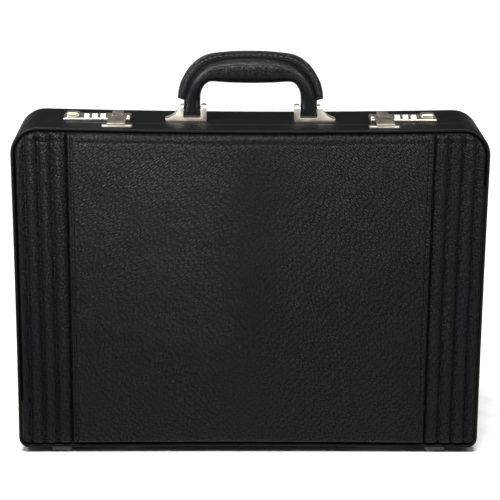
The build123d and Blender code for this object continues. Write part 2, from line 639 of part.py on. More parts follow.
# ---- combination locks -------------------------------------------------------------------
for side_name, side in SIDES.items():
    with BuildPart() as lock_plate:
        with BuildSketch(Plane.XY.offset(LOCK_BED)):
            with Locations((side * (LOCK_OUTER + LOCK_INNER) / 2, (LOCK_FRONT + LOCK_BACK) / 2)):
                RectangleRounded(LOCK_OUTER - LOCK_INNER, LOCK_BACK - LOCK_FRONT, PLATE_CORNER)
        extrude(amount=LOCK_TOP - LOCK_BED)
        chamfer(lock_plate.faces().sort_by(Axis.Z)[-1].edges(), 0.5)
        block((side * RIDGE_X[0], side * RIDGE_X[1]), RIDGE_Y, (LOCK_TOP - 1, RIDGE_TOP))
        fillet(lock_plate.edges().group_by(Axis.Z)[-1], 1.0)
        for x in DIAL_X:
            window_x = (side * x - DIAL_WINDOW / 2, side * x + DIAL_WINDOW / 2)
            window_y = (DIAL_Y - DIAL_WINDOW_HALF, DIAL_Y + DIAL_WINDOW_HALF)
            block(window_x, window_y, (LOCK_BED - 1, LOCK_TOP + 1), Mode.SUBTRACT)
        channel_x = (side * (BEARER_X[0][0] + CLEAR), side * (BEARER_X[1][1] - CLEAR))
        rod_x(channel_x, DIAL_Y, DIAL_Z, DIAL_HUB_R + CLEAR, Mode.SUBTRACT)
        slot_x = (side * (STEM_X[0] + BUTTON_TRAVEL + CLEAR), side * (STEM_X[1] - CLEAR))
        slot_y = (BUTTON_Y - STEM_HALF_DEPTH - CLEAR, BUTTON_Y + STEM_HALF_DEPTH + CLEAR)
        block(slot_x, slot_y, (LOCK_BED - 1, LOCK_TOP + 1), Mode.SUBTRACT)
    save(lock_plate, f"lock_plate_{side_name}")

    with BuildPart() as lock_case:
        case_x = (side * LOCK_CASE_OUTER, side * LOCK_CASE_INNER)
        inner_x = (side * (LOCK_CASE_OUTER - LOCK_CASE_WALL), side * (LOCK_CASE_INNER + LOCK_CASE_WALL))
        inner_y = (LOCK_CASE_FRONT + LOCK_CASE_WALL, LOCK_CASE_BACK - LOCK_CASE_WALL)
        floor = LOCK_CASE_FLOOR + LOCK_CASE_WALL
        block(case_x, (LOCK_CASE_FRONT, LOCK_CASE_BACK), (LOCK_CASE_FLOOR, LOCK_BED))
        block(inner_x, inner_y, (floor, LOCK_BED + 1), Mode.SUBTRACT)
        for bearer in BEARER_X:
            bearer_x = (side * bearer[0], side * bearer[1])
            bearer_y = (DIAL_Y - BEARER_HALF_DEPTH, DIAL_Y + BEARER_HALF_DEPTH)
            block(bearer_x, bearer_y, (floor, LOCK_BED))
        axle_x = (side * BEARER_X[0][0], side * BEARER_X[1][1])
        rod_x(axle_x, DIAL_Y, DIAL_Z, DIAL_AXLE_R, Mode.SUBTRACT)
        axle_top = (DIAL_Y - DIAL_AXLE_R, DIAL_Y + DIAL_AXLE_R)
        block(axle_x, axle_top, (DIAL_Z, LOCK_BED), Mode.SUBTRACT)
    save(lock_case, f"lock_case_{side_name}")

    for number, x in enumerate(DIAL_X, start=1):
        with BuildPart() as dial:
            dial_x = (side * x - DIAL_WIDTH / 2, side * x + DIAL_WIDTH / 2)
            hub_x = (side * x - DIAL_HUB_WIDTH / 2, side * x + DIAL_HUB_WIDTH / 2)
            rod_x(dial_x, DIAL_Y, DIAL_Z, DIAL_R)
            for index in range(DIAL_NOTCHES):
                angle = radians((index + 0.5) * 360 / DIAL_NOTCHES)
                notch_y = DIAL_Y + DIAL_R * cos(angle)
                notch_z = DIAL_Z + DIAL_R * sin(angle)
                rod_x(dial_x, notch_y, notch_z, DIAL_NOTCH_R, Mode.SUBTRACT)
            rod_x(hub_x, DIAL_Y, DIAL_Z, DIAL_HUB_R)
            rod_x(hub_x, DIAL_Y, DIAL_Z, DIAL_AXLE_R + RUNNING, Mode.SUBTRACT)
        save(dial, f"dial_{side_name}_{number}")

    with BuildPart() as push_button:
        button_x = (side * BUTTON_OUTER, side * BUTTON_INNER)
        button_y = (BUTTON_Y - BUTTON_DEPTH / 2, BUTTON_Y + BUTTON_DEPTH / 2)
        block(button_x, button_y, (LOCK_TOP + CLEAR, BUTTON_TOP))
        fillet(push_button.edges().filter_by(Axis.Z), BUTTON_CORNER)
        chamfer(push_button.faces().sort_by(Axis.Z)[-1].edges(), 1.0)
        stem_y = (BUTTON_Y - STEM_HALF_DEPTH, BUTTON_Y + STEM_HALF_DEPTH)
        block((side * STEM_X[0], side * STEM_X[1]), stem_y, (STEM_BOTTOM, LOCK_TOP + 1))
    save(push_button, f"push_button_{side_name}")

with BuildPart() as dial_axles:
    for side in SIDES.values():
        rod_x((side * BEARER_X[0][0], side * BEARER_X[1][1]), DIAL_Y, DIAL_Z, DIAL_AXLE_R)
save(dial_axles, "dial_axles")

# ---- hasps on the locks and their catches on the lid ----------------------------------------
for side_name, side in SIDES.items():
    hasp_x = side * HASP_X
    with BuildPart() as hasp_bracket:
        with BuildSketch(facing_side(hasp_x - TONGUE_HALF)):
            with BuildLine():
                Polyline(
                    (NECK_BACK, LOCK_TOP),
                    (NECK_BACK, HASP_AXIS_Z + HASP_KNUCKLE_R),
                    (TONGUE_BACK - 2, TONGUE_TOP),
                    (TONGUE_BACK, TONGUE_TOP - 2),
                    (TONGUE_BACK, LOCK_TOP),
                    (NECK_BACK, LOCK_TOP),
                )
            make_face()
        extrude(amount=2 * TONGUE_HALF)
        fillet(hasp_bracket.edges().filter_by(Axis.Z).group_by(Axis.Y)[-1], 2.5)
        centre = (hasp_x - HASP_CENTRE_HALF, hasp_x + HASP_CENTRE_HALF)
        rod_x(centre, HASP_AXIS_Y, HASP_AXIS_Z, HASP_KNUCKLE_R)
        neck_z = (HASP_AXIS_Z - HASP_KNUCKLE_R, HASP_AXIS_Z + HASP_KNUCKLE_R)
        block(centre, (HASP_AXIS_Y, NECK_BACK), neck_z)
        rod_x(centre, HASP_AXIS_Y, HASP_AXIS_Z, HASP_PIN_R, Mode.SUBTRACT)
    save(hasp_bracket, f"hasp_bracket_{side_name}")

    with BuildPart() as hasp:
        with BuildSketch(facing_side(hasp_x - HASP_HALF)):
            with BuildLine():
                Polyline(
                    (HASP_AXIS_Y, HASP_AXIS_Z + HASP_KNUCKLE_R),
                    HASP_BEND_TOP,
                    (HASP_END_Y, CATCH_TOP + HASP_GAP + HASP_SHEET),
                    (HASP_END_Y, CATCH_TOP + HASP_GAP),
                    HASP_BEND_UNDER,
                    (HASP_AXIS_Y, HASP_AXIS_Z + 0.2),
                    (HASP_AXIS_Y, HASP_AXIS_Z + HASP_KNUCKLE_R),
                )
            make_face()
        extrude(amount=2 * HASP_HALF)
        knuckle = (hasp_x - HASP_HALF, hasp_x + HASP_HALF)
        rod_x(knuckle, HASP_AXIS_Y, HASP_AXIS_Z, HASP_KNUCKLE_R)
        gap = HASP_CENTRE_HALF + CLEAR
        gap_y = (HASP_AXIS_Y - HASP_KNUCKLE_R - CLEAR, HASP_AXIS_Y + HASP_KNUCKLE_R + 1)
        gap_z = (HASP_AXIS_Z - 3, HASP_AXIS_Z + 3)
        block((hasp_x - gap, hasp_x + gap), gap_y, gap_z, Mode.SUBTRACT)
        rod_x(knuckle, HASP_AXIS_Y, HASP_AXIS_Z, HASP_PIN_R + RUNNING, Mode.SUBTRACT)
    save(hasp, f"hasp_{side_name}")

    with BuildPart() as catch_plate:
        with BuildSketch(Plane.XY.offset(LOCK_BED)) as plan:
            with Locations((side * CATCH_X, CATCH_Y)):
                Rectangle(CATCH_LENGTH, CATCH_WIDTH)
            chamfer(plan.vertices(), CATCH_CORNER)
        extrude(amount=CATCH_TOP - LOCK_BED)
        chamfer(catch_plate.faces().sort_by(Axis.Z)[-1].edges(), CATCH_EDGE)
    save(catch_plate, f"catch_plate_{side_name}")

with BuildPart() as hasp_pins:
    for side in SIDES.values():
        ends = (side * HASP_X - HASP_HALF, side * HASP_X + HASP_HALF)
        rod_x(ends, HASP_AXIS_Y, HASP_AXIS_Z, HASP_PIN_R)
save(hasp_pins, "hasp_pins")

# ---- sliding lid stays ---------------------------------------------------------------------
for side_name, side in SIDES.items():
    arm_x = (side * (STAY_X - STAY_SHEET / 2), side * (STAY_X + STAY_SHEET / 2))
    with BuildPart() as stay_arm:
        with BuildSketch(facing_side(min(arm_x))):
            with Locations((STAY_LID_Y + STAY_LENGTH / 2 - STAY_WIDTH / 4, STAY_Z)):
                RectangleRounded(STAY_LENGTH + STAY_WIDTH / 2, STAY_WIDTH, STAY_WIDTH / 2 - 0.1)
            with Locations((STAY_LID_Y, STAY_Z)):
                Circle(STAY_RIVET_R + RUNNING, mode=Mode.SUBTRACT)
        extrude(amount=STAY_SHEET)
    save(stay_arm, f"stay_arm_{side_name}")

    inner = STAY_X - STAY_SHEET / 2 - CLEAR
    outer = STAY_X + STAY_SHEET / 2 + CLEAR
    with BuildPart() as stay_guide:
        body = (side * (inner - GUIDE_RIM), side * (outer + GUIDE_WALL))
        height = STAY_WIDTH / 2 + CLEAR
        reach = height + GUIDE_RIM
        block(body, (STAY_BASE_Y - GUIDE_HALF, STAY_BASE_Y + GUIDE_HALF), (STAY_Z - reach, STAY_Z + reach))
        fillet(stay_guide.edges().filter_by(Axis.X), GUIDE_CORNER)
        slot_y = (STAY_BASE_Y - GUIDE_HALF - 1, STAY_BASE_Y + GUIDE_HALF + 1)
        block((side * inner, side * outer), slot_y, (STAY_Z - height, STAY_Z + height), Mode.SUBTRACT)
        bore_r = STAY_RIVET_R + RUNNING
        rod_x((side * outer, side * (outer + GUIDE_WALL)), STAY_BASE_Y, STAY_Z, bore_r, Mode.SUBTRACT)
        sink = (side * outer, side * (outer + 1))
        rod_x(sink, STAY_BASE_Y, STAY_Z, SUNK_HEAD_R + 0.4, Mode.SUBTRACT)
    save(stay_guide, f"stay_guide_{side_name}")

with BuildPart() as stay_base_rivets:
    for side in SIDES.values():
        head_x = side * (STAY_X + STAY_SHEET / 2 + CLEAR)
        spacer_x = head_x + side * (GUIDE_WALL + CLEAR)
        rod_x((head_x, side * WALL_FACE), STAY_BASE_Y, STAY_Z, STAY_RIVET_R)
        rod_x((spacer_x, side * WALL_FACE), STAY_BASE_Y, STAY_Z, BASE_SPACER_R)
        rod_x((head_x, head_x + side * SUNK_HEAD), STAY_BASE_Y, STAY_Z, SUNK_HEAD_R)
save(stay_base_rivets, "stay_base_rivets")

with BuildPart() as stay_lid_rivets:
    for side in SIDES.values():
        near = STAY_X - STAY_SHEET / 2 - CLEAR
        far = STAY_X + STAY_SHEET / 2 + CLEAR
        rod_x((side * (near - HEAD), side * WALL_FACE), STAY_LID_Y, STAY_Z, STAY_RIVET_R)
        rod_x((side * (near - HEAD), side * near), STAY_LID_Y, STAY_Z, HEAD_R)
        rod_x((side * far, side * WALL_FACE), STAY_LID_Y, STAY_Z, LID_SPACER_R)
save(stay_lid_rivets, "stay_lid_rivets")

# ---- organiser inside the lid ----------------------------------------------------------------
with BuildPart() as lid_file_pocket:
    pocket_x = (-POCKET_HALF, POCKET_HALF)
    inner_x = (-POCKET_HALF + POCKET_SHEET, POCKET_HALF - POCKET_SHEET)
    inner_y = (POCKET_BACK - 1, POCKET_FRONT - POCKET_SHEET)
    block(pocket_x, (POCKET_BACK, POCKET_FRONT), (POCKET_BOTTOM, POCKET_MOUTH))
    block(inner_x, inner_y, (POCKET_BOTTOM + POCKET_SHEET, POCKET_MOUTH + 1), Mode.SUBTRACT)
save(lid_file_pocket, "lid_file_pocket")

with BuildPart() as lid_card_pockets:
    for low in CARD_LOWS:
        block(CARD_X, (POCKET_FRONT, POCKET_FRONT + CARD_SHEET), (low, low + CARD_HEIGHT))
save(lid_card_pockets, "lid_card_pockets")

with BuildPart() as lid_pen_loops:
    pen_y = POCKET_BACK + PEN_LOOP_R
    loop_z = (PEN_LOOP_LOW, PEN_LOOP_LOW + PEN_LOOP_HEIGHT)
    strip_x = (PEN_LOOPS_X[0] - PEN_STRIP_END, PEN_LOOPS_X[-1] + PEN_STRIP_END)
    block(strip_x, (POCKET_BACK, POCKET_BACK + PEN_LOOP_R - PEN_LOOP_BORE), loop_z)
    for x in PEN_LOOPS_X:
        rod_z(x, pen_y, loop_z, PEN_LOOP_R)
    for x in PEN_LOOPS_X:
        rod_z(x, pen_y, loop_z, PEN_LOOP_BORE, Mode.SUBTRACT)
save(lid_pen_loops, "lid_pen_loops")
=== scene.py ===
"""Looks of a hard-sided leather attache case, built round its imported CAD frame."""
import json
import math

import bmesh
import bpy
from mathutils import Matrix, Vector, noise

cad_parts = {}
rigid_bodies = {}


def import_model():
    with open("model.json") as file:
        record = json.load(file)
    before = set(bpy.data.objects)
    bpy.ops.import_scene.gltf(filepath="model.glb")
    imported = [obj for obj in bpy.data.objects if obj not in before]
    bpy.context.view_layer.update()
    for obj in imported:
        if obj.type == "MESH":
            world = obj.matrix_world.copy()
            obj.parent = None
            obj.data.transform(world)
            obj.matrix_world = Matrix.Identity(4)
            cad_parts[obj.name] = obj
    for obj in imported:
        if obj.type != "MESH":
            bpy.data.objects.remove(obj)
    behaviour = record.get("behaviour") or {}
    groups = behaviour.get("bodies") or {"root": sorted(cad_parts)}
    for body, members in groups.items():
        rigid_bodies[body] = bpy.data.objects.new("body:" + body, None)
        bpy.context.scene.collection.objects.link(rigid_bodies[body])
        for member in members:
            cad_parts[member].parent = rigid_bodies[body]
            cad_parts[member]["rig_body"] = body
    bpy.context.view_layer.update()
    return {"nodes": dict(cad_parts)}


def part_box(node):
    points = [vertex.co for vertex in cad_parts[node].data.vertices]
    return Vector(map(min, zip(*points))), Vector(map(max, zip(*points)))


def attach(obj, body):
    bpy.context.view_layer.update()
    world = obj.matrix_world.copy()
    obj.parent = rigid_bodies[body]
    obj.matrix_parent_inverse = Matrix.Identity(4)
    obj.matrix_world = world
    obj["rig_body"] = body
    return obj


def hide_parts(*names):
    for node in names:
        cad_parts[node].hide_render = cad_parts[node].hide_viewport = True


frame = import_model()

bl_info = {
    "name": "Leather Attache Case",
    "version": (1, 0, 0),
    "blender": (4, 5, 0),
    "location": "View3D > Sidebar > Attache",
    "description": "Builds the leather, metal and lining of a hard-sided attache case",
    "category": "Object",
}

MM = 0.001
SIDES = {"left": -1, "right": 1}
HALVES = {"lid": -1, "base": 1}

# ---- places taken from the frame ---------------------------------------------------------
COVER_LOW, COVER_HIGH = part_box("base_wall_cover")
CASE_RIGHT = COVER_HIGH.x
CASE_TOP = COVER_HIGH.z
CASE_LOW = COVER_LOW.z
RIM_Y = COVER_HIGH.y
SEAM_EDGE = {"base": COVER_LOW.y, "lid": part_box("lid_wall_cover")[1].y}
RECESS_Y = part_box("base_back_panel")[0].y
CROWN_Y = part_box("base_back_panel")[1].y
RIB_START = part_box("base_back_panel")[1].x
TOP_CORNER = 27 * MM
LOW_CORNER = 10 * MM
TOP_SAG = 2.4 * MM
LOW_SAG = 1.5 * MM
SIDE_SAG = 0.5 * MM
RIM_WIDTH = 3.3 * MM
PANEL_INSET = 4.3 * MM
RIB_VALLEYS = (189.5 * MM, 202.5 * MM, 215.5 * MM)
LINING_INSET = 5.6 * MM
RECESS_LEDGE = 2.5 * MM
HINGE_NEAR_END = 105 * MM
FOOT_PLATE_WIDTH = 21 * MM
BACKING_PLATE_ENDS = (41 * MM, 80 * MM)
STITCH_MARGIN = 5 * MM
FOLD_STITCHES = 3.9 * MM
LINING_THICKNESS = 0.8 * MM
LINING_FLOOR_GAP = 1.0 * MM
LINING_CORNER = 3 * MM
CARD_POCKET_ROWS = ((60.0 * MM, 114.0 * MM), (118.0 * MM, 172.0 * MM))
POCKET_LEATHER = 1.4 * MM
PEN_LOOP_MIDDLES = (150.0 * MM, 166.0 * MM)


class AttacheSizes(bpy.types.PropertyGroup):
    """Sizes of the leather work that a maker would change."""

    wall_leather: bpy.props.FloatProperty(
        name="Wall leather", description="Thickness of the leather on the side walls",
        default=1.2 * MM, min=0.6 * MM, max=2.0 * MM, unit="LENGTH")
    rim_round: bpy.props.FloatProperty(
        name="Rim rounding", description="Radius of the leather where it turns over the rim",
        default=1.5 * MM, min=0.5 * MM, max=1.6 * MM, unit="LENGTH")
    roll_width: bpy.props.FloatProperty(
        name="Edge roll", description="Width of the rolled edge of the padded panels",
        default=5.2 * MM, min=2.0 * MM, max=8.0 * MM, unit="LENGTH")
    rib_puff: bpy.props.FloatProperty(
        name="Rib height", description="Height of a padded rib over its stitched valleys",
        default=4.2 * MM, min=0.5 * MM, max=5.0 * MM, unit="LENGTH")
    stitch_pitch: bpy.props.FloatProperty(
        name="Stitch pitch", description="Distance from one stitch to the next",
        default=4.2 * MM, min=2.0 * MM, max=8.0 * MM, unit="LENGTH")
    thread: bpy.props.FloatProperty(
        name="Thread", description="Thickness of the sewing thread",
        default=0.7 * MM, min=0.2 * MM, max=1.5 * MM, unit="LENGTH")
    pebble: bpy.props.FloatProperty(
        name="Pebble grain", description="Width of one pebble of the panel leather's grain",
        default=2.35 * MM, min=0.5 * MM, max=5.0 * MM, unit="LENGTH")
    metal_edge: bpy.props.FloatProperty(
        name="Metal edge", description="Width of the bevel on the edges of the metal fittings",
        default=0.22 * MM, min=0.05 * MM, max=0.8 * MM, unit="LENGTH")


class AttacheFinish(bpy.types.PropertyGroup):
    """Colours of the finishes, as sRGB hex values."""

    # The crease black is darker than the black of the grain tops as painted shade in the creases.
    leather: bpy.props.StringProperty(
        name="Leather", description="Black of the leather in its creases", default="#050506")
    leather_high: bpy.props.StringProperty(
        name="Leather high spots", description="Black of the tops of the grain", default="#0d0e10")
    nickel: bpy.props.StringProperty(
        name="Nickel", description="Nickel plate of the fittings", default="#bdb6a8")
    lining: bpy.props.StringProperty(
        name="Lining", description="Woven lining inside both halves", default="#2c2d31")
    dial: bpy.props.StringProperty(
        name="Dials", description="Moulded plastic of the lock dials", default="#f4f2ea")
    floor: bpy.props.StringProperty(
        name="Floor", description="Plain studio floor", default="#f7f7f6")


def sizes():
    """The sizes as they are set in the sidebar."""
    return bpy.context.scene.attache_sizes


def finish():
    """The colours as they are set in the sidebar."""
    return bpy.context.scene.attache_finish


# ---- modelling helpers -------------------------------------------------------------------
def deselect():
    """Leaves edit mode and deselects every object."""
    if bpy.context.object is not None and bpy.context.object.mode != "OBJECT":
        bpy.ops.object.mode_set(mode="OBJECT")
    bpy.ops.object.select_all(action="DESELECT")


def take(piece):
    """Makes one piece the only selected and the active one."""
    deselect()
    piece.select_set(True)
    bpy.context.view_layer.objects.active = piece


def edit(piece):
    """Goes into edit mode on one piece, with nothing selected."""
    take(piece)
    bpy.ops.object.mode_set(mode="EDIT")
    bpy.ops.mesh.select_all(action="DESELECT")


def centre_of(item):
    """The middle of a vertex, an edge or a face of a bmesh."""
    if isinstance(item, bmesh.types.BMVert):
        return item.co
    if isinstance(item, bmesh.types.BMEdge):
        return (item.verts[0].co + item.verts[1].co) / 2
    return item.calc_center_median()


def pick(piece, kind, test):
    """Selects in edit mode what passes test(item, centre). kind is verts, edges or faces."""
    bpy.ops.mesh.select_mode(type={"verts": "VERT", "edges": "EDGE", "faces": "FACE"}[kind])
    bpy.ops.mesh.select_all(action="DESELECT")
    mesh = bmesh.from_edit_mesh(piece.data)
    for item in getattr(mesh, kind):
        if test(item, centre_of(item)):
            item.select_set(True)
    bmesh.update_edit_mesh(piece.data)


def apply_modifier(piece, kind, **settings):
    """Adds a modifier with its settings and applies it at once."""
    take(piece)
    modifier = piece.modifiers.new(kind.title(), kind)
    for key, value in settings.items():
        setattr(modifier, key, value)
    bpy.ops.object.modifier_apply(modifier=modifier.name)


def outward(piece):
    """Merges doubles and turns the faces of a closed piece outwards."""
    edit(piece)
    bpy.ops.mesh.select_all(action="SELECT")
    bpy.ops.mesh.remove_doubles(threshold=0.000002)
    bpy.ops.mesh.normals_make_consistent(inside=False)
    bpy.ops.object.mode_set(mode="OBJECT")


def complete(piece, name, body, material, replaces=(), smooth=40):
    """Names and shades a piece, gives it its finish and lets it ride on its body."""
    take(piece)
    bpy.ops.object.transform_apply(location=True, rotation=True, scale=True)
    bpy.ops.object.shade_smooth_by_angle(angle=math.radians(smooth))
    piece.name = name
    piece.data.name = name
    piece.data.materials.clear()
    piece.data.materials.append(material)
    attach(piece, body)
    if replaces:
        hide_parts(*replaces)
    return piece


def joined(pieces):
    """Joins pieces into the first of them."""
    deselect()
    for piece in pieces:
        piece.select_set(True)
    bpy.context.view_layer.objects.active = pieces[0]
    bpy.ops.object.join()
    return bpy.context.object


def step(value, low, high):
    """A smooth step from 0 at low to 1 at high."""
    t = min(1.0, max(0.0, (value - low) / (high - low)))
    return t * t * (3 - 2 * t)


def dip(value, middle, width):
    """A smooth dip of 1 at the middle, gone about two widths away."""
    return math.exp(-((value - middle) / width) ** 2)


def bow(point):
    """Bows a point of the straight-sided case inwards, as the sides of the case are bowed."""
    x, y, z = point
    middle = (CASE_LOW + CASE_TOP) / 2
    flat_top = CASE_RIGHT - TOP_CORNER
    flat_low = CASE_RIGHT - LOW_CORNER
    top = step(z, middle, CASE_TOP - 20 * MM)
    low = step(z, middle, CASE_LOW + 20 * MM)
    edge = step(abs(x), 0.6 * CASE_RIGHT, CASE_RIGHT - 12 * MM)
    side_middle = (CASE_LOW + LOW_CORNER + CASE_TOP - TOP_CORNER) / 2
    side_half = CASE_TOP - TOP_CORNER - side_middle
    down = TOP_SAG * top * max(0, 1 - (x / flat_top) ** 2)
    up = LOW_SAG * low * max(0, 1 - (x / flat_low) ** 2)
    inwards = SIDE_SAG * edge * max(0, 1 - ((z - side_middle) / side_half) ** 2)
    return Vector((x - math.copysign(inwards, x), y, z - down + up))


def bow_piece(piece):
    """Bows every vertex of a piece as the case is bowed."""
    for vertex in piece.data.vertices:
        vertex.co = bow(vertex.co)


def edge_distance(x, z, inset):
    """How far a point lies inside the straight-sided outline, itself inset from the case."""
    right, top, low = CASE_RIGHT - inset, CASE_TOP - inset, CASE_LOW + inset
    upper = z > (top + low) / 2
    radius = (TOP_CORNER if upper else LOW_CORNER) - inset
    across = abs(x) - (right - radius)
    up = (z - (top - radius)) if upper else ((low + radius) - z)
    if across > 0 and up > 0:
        return radius - math.hypot(across, up)
    return min(right - abs(x), top - z, z - low)


def case_face(y, inset, facing):
    """One face with the case's outline, at depth y, facing the front (-1) or the back (1)."""
    deselect()
    width = 2 * (CASE_RIGHT - inset)
    height = CASE_TOP - CASE_LOW - 2 * inset
    middle = (CASE_TOP + CASE_LOW) / 2
    turn = math.radians(-90 * facing)
    bpy.ops.mesh.primitive_plane_add(size=1, location=(0, y, middle), rotation=(turn, 0, 0))
    piece = bpy.context.object
    piece.scale = (width, height, 1)
    bpy.ops.object.transform_apply(location=True, rotation=True, scale=True)
    edit(piece)
    pick(piece, "verts", lambda v, c: c.z > middle)
    bpy.ops.mesh.bevel(offset=TOP_CORNER - inset, segments=12, affect="VERTICES")
    pick(piece, "verts", lambda v, c: c.z < middle - 0.45 * height)
    bpy.ops.mesh.bevel(offset=LOW_CORNER - inset, segments=8, affect="VERTICES")
    pick(piece, "edges", lambda e, c: e.calc_length() > 0.2)
    bpy.ops.mesh.subdivide(number_cuts=60)
    pick(piece, "faces", lambda f, c: True)
    return piece


def push(distance):
    """Extrudes the selected face straight along Y."""
    bpy.ops.mesh.extrude_region_move(TRANSFORM_OT_translate={"value": (0, distance, 0)})


def inset(thickness, depth=0.0):
    """Insets the selected face, and moves it along its normal."""
    bpy.ops.mesh.inset(thickness=thickness, depth=depth, use_even_offset=True)


def round_in(radius, steps):
    """Insets the selected face over a quarter circle, from the wall's direction to the face's."""
    for index in range(steps):
        a0 = math.pi / 2 * index / steps
        a1 = math.pi / 2 * (index + 1) / steps
        inset(radius * (math.cos(a0) - math.cos(a1)), radius * (math.sin(a1) - math.sin(a0)))


def round_down(radius, steps):
    """Insets the selected face over a quarter circle, from the face's direction down again."""
    for index in range(steps):
        a0 = math.pi / 2 * index / steps
        a1 = math.pi / 2 * (index + 1) / steps
        inset(radius * (math.sin(a1) - math.sin(a0)), -radius * (math.cos(a0) - math.cos(a1)))


def drop_faces(piece, test):
    """Deletes the faces that pass the test and leaves edit mode."""
    pick(piece, "faces", test)
    bpy.ops.mesh.delete(type="FACE")
    bpy.ops.object.mode_set(mode="OBJECT")


def box_between(low, high):
    """A box between two corners, given in any order."""
    deselect()
    low, high = Vector(low), Vector(high)
    bpy.ops.mesh.primitive_cube_add(size=1, location=(low + high) / 2)
    piece = bpy.context.object
    piece.scale = [abs(d) for d in high - low]
    bpy.ops.object.transform_apply(location=True, rotation=True, scale=True)
    return piece


def cut(piece, cutters):
    """Cuts boxes, each given by two corners, out of a piece."""
    for low, high in cutters:
        cutter = box_between(low, high)
        apply_modifier(piece, "BOOLEAN", operation="DIFFERENCE", object=cutter, solver="EXACT")
        bpy.data.objects.remove(cutter)


def shaped_grid(columns, rows, place, closed=True):
    """A grid whose vertices are put by place(u, v), both from 0 to 1, closed behind by a face."""
    deselect()
    bpy.ops.mesh.primitive_grid_add(x_subdivisions=columns, y_subdivisions=rows, size=1)
    piece = bpy.context.object
    for vertex in piece.data.vertices:
        vertex.co = place(vertex.co.x + 0.5, vertex.co.y + 0.5)
    if closed:
        edit(piece)
        pick(piece, "edges", lambda e, c: e.is_boundary)
        bpy.ops.mesh.edge_face_add()
        outward(piece)
    return piece


def crowd(u, share=0.78):
    """Spreads a grid's lines so that they crowd at both ends."""
    return u - share * math.sin(2 * math.pi * u) / (2 * math.pi)


def between(a, b, t):
    """The value a share t of the way from a to b."""
    return a + (b - a) * t


def spline(points, t):
    """A point at t, 0 to 1, on a smooth line through points of any number of values."""
    last = len(points) - 1
    place = min(max(t, 0), 1) * last
    index = min(int(place), last - 1)
    s = place - index
    p0, p1 = points[max(index - 1, 0)], points[index]
    p2, p3 = points[index + 1], points[min(index + 2, last)]
    return [
        0.5 * (2 * b + (c - a) * s + (2 * a - 5 * b + 4 * c - d) * s ** 2
               + (3 * b - a - 3 * c + d) * s ** 3)
        for a, b, c, d in zip(p0, p1, p2, p3)
    ]


# ---- materials ---------------------------------------------------------------------------
SMOOTH = {"interpolation_type": "SMOOTHSTEP"}
COLOURS = {"data_type": "RGBA"}
VALUES = {"data_type": "FLOAT"}


def linear(hex_colour):
    """An sRGB hex value as a linear colour."""
    values = [int(hex_colour[i:i + 2], 16) / 255 for i in (1, 3, 5)]
    return [v / 12.92 if v <= 0.04045 else ((v + 0.055) / 1.055) ** 2.4 for v in values] + [1.0]


def darker(hex_colour, share):
    """An sRGB hex value with its channels taken down to a share, as a linear colour."""
    values = [int(share * int(hex_colour[i:i + 2], 16)) for i in (1, 3, 5)]
    return linear("#" + "".join(f"{v:02x}" for v in values))


def wire(tree, node, **sockets):
    """Gives sockets, named or as input_0 and on, a value or a link from another output."""
    for key, value in sockets.items():
        if key.startswith("input_"):
            socket = node.inputs[int(key[len("input_"):])]
        else:
            name = key.replace("_", " ")
            socket = next(s for s in node.inputs if s.name == name and s.enabled)
        if isinstance(value, bpy.types.NodeSocket):
            tree.links.new(value, socket)
        else:
            socket.default_value = value


def add_node(tree, kind, settings=None, output=None, **sockets):
    """Adds a node with its settings and links, and gives its output, the first if not named."""
    node = tree.nodes.new(kind)
    for key, value in (settings or {}).items():
        setattr(node, key, value)
    wire(tree, node, **sockets)
    return node.outputs[output] if output else next(s for s in node.outputs if s.enabled)


def new_material(name, **constants):
    """A material with one Principled shader, its even values on the shader's own sockets."""
    material = bpy.data.materials.new(name)
    material.use_nodes = True
    shader = next(n for n in material.node_tree.nodes if n.type == "BSDF_PRINCIPLED")
    for key, value in constants.items():
        shader.inputs[key.replace("_", " ")].default_value = value
    return material, material.node_tree, shader


def pebbles(tree, place, pebble, lean):
    """Domes of embossed grain on an upright face, drawn out along a line that leans, in degrees."""
    turned = add_node(tree, "ShaderNodeMapping", {"vector_type": "TEXTURE"}, Vector=place,
                      Rotation=(0, math.radians(lean), 0), Scale=(0.8, 1.0, 1.9))
    wander = add_node(tree, "ShaderNodeTexNoise", output="Color", Vector=place,
                      Scale=0.05 / pebble, Detail=0.0)
    bent = add_node(tree, "ShaderNodeVectorMath", {"operation": "MULTIPLY_ADD"},
                    input_0=wander, input_1=(2.2 * pebble,) * 3, input_2=turned)
    parts = add_node(tree, "ShaderNodeSeparateXYZ", Vector=bent).node.outputs
    flat = add_node(tree, "ShaderNodeCombineXYZ", X=parts["X"], Y=parts["Z"])
    cell = add_node(tree, "ShaderNodeTexVoronoi",
                    {"feature": "DISTANCE_TO_EDGE", "voronoi_dimensions": "2D"},
                    Vector=flat, Scale=0.85 / pebble, Randomness=0.85)
    grain = add_node(tree, "ShaderNodeTexNoise", {"noise_dimensions": "2D"}, Vector=flat,
                     Scale=1.3 / pebble, Detail=0.5, Roughness=0.6)
    dome = add_node(tree, "ShaderNodeMapRange", SMOOTH, Value=cell, From_Max=0.34)
    ridge = add_node(tree, "ShaderNodeMapRange", SMOOTH, Value=grain, From_Min=0.30, From_Max=0.68)
    return add_node(tree, "ShaderNodeMix", VALUES, Factor=0.3, A=dome, B=ridge)


def milled(tree, place, pebble):
    """Domes of soft milled grain on a piece that faces every way."""
    cell = add_node(tree, "ShaderNodeTexVoronoi", {"feature": "DISTANCE_TO_EDGE"},
                    Vector=place, Scale=1 / pebble, Randomness=0.9)
    return add_node(tree, "ShaderNodeMapRange", SMOOTH, Value=cell, From_Min=0.02, From_Max=0.3)


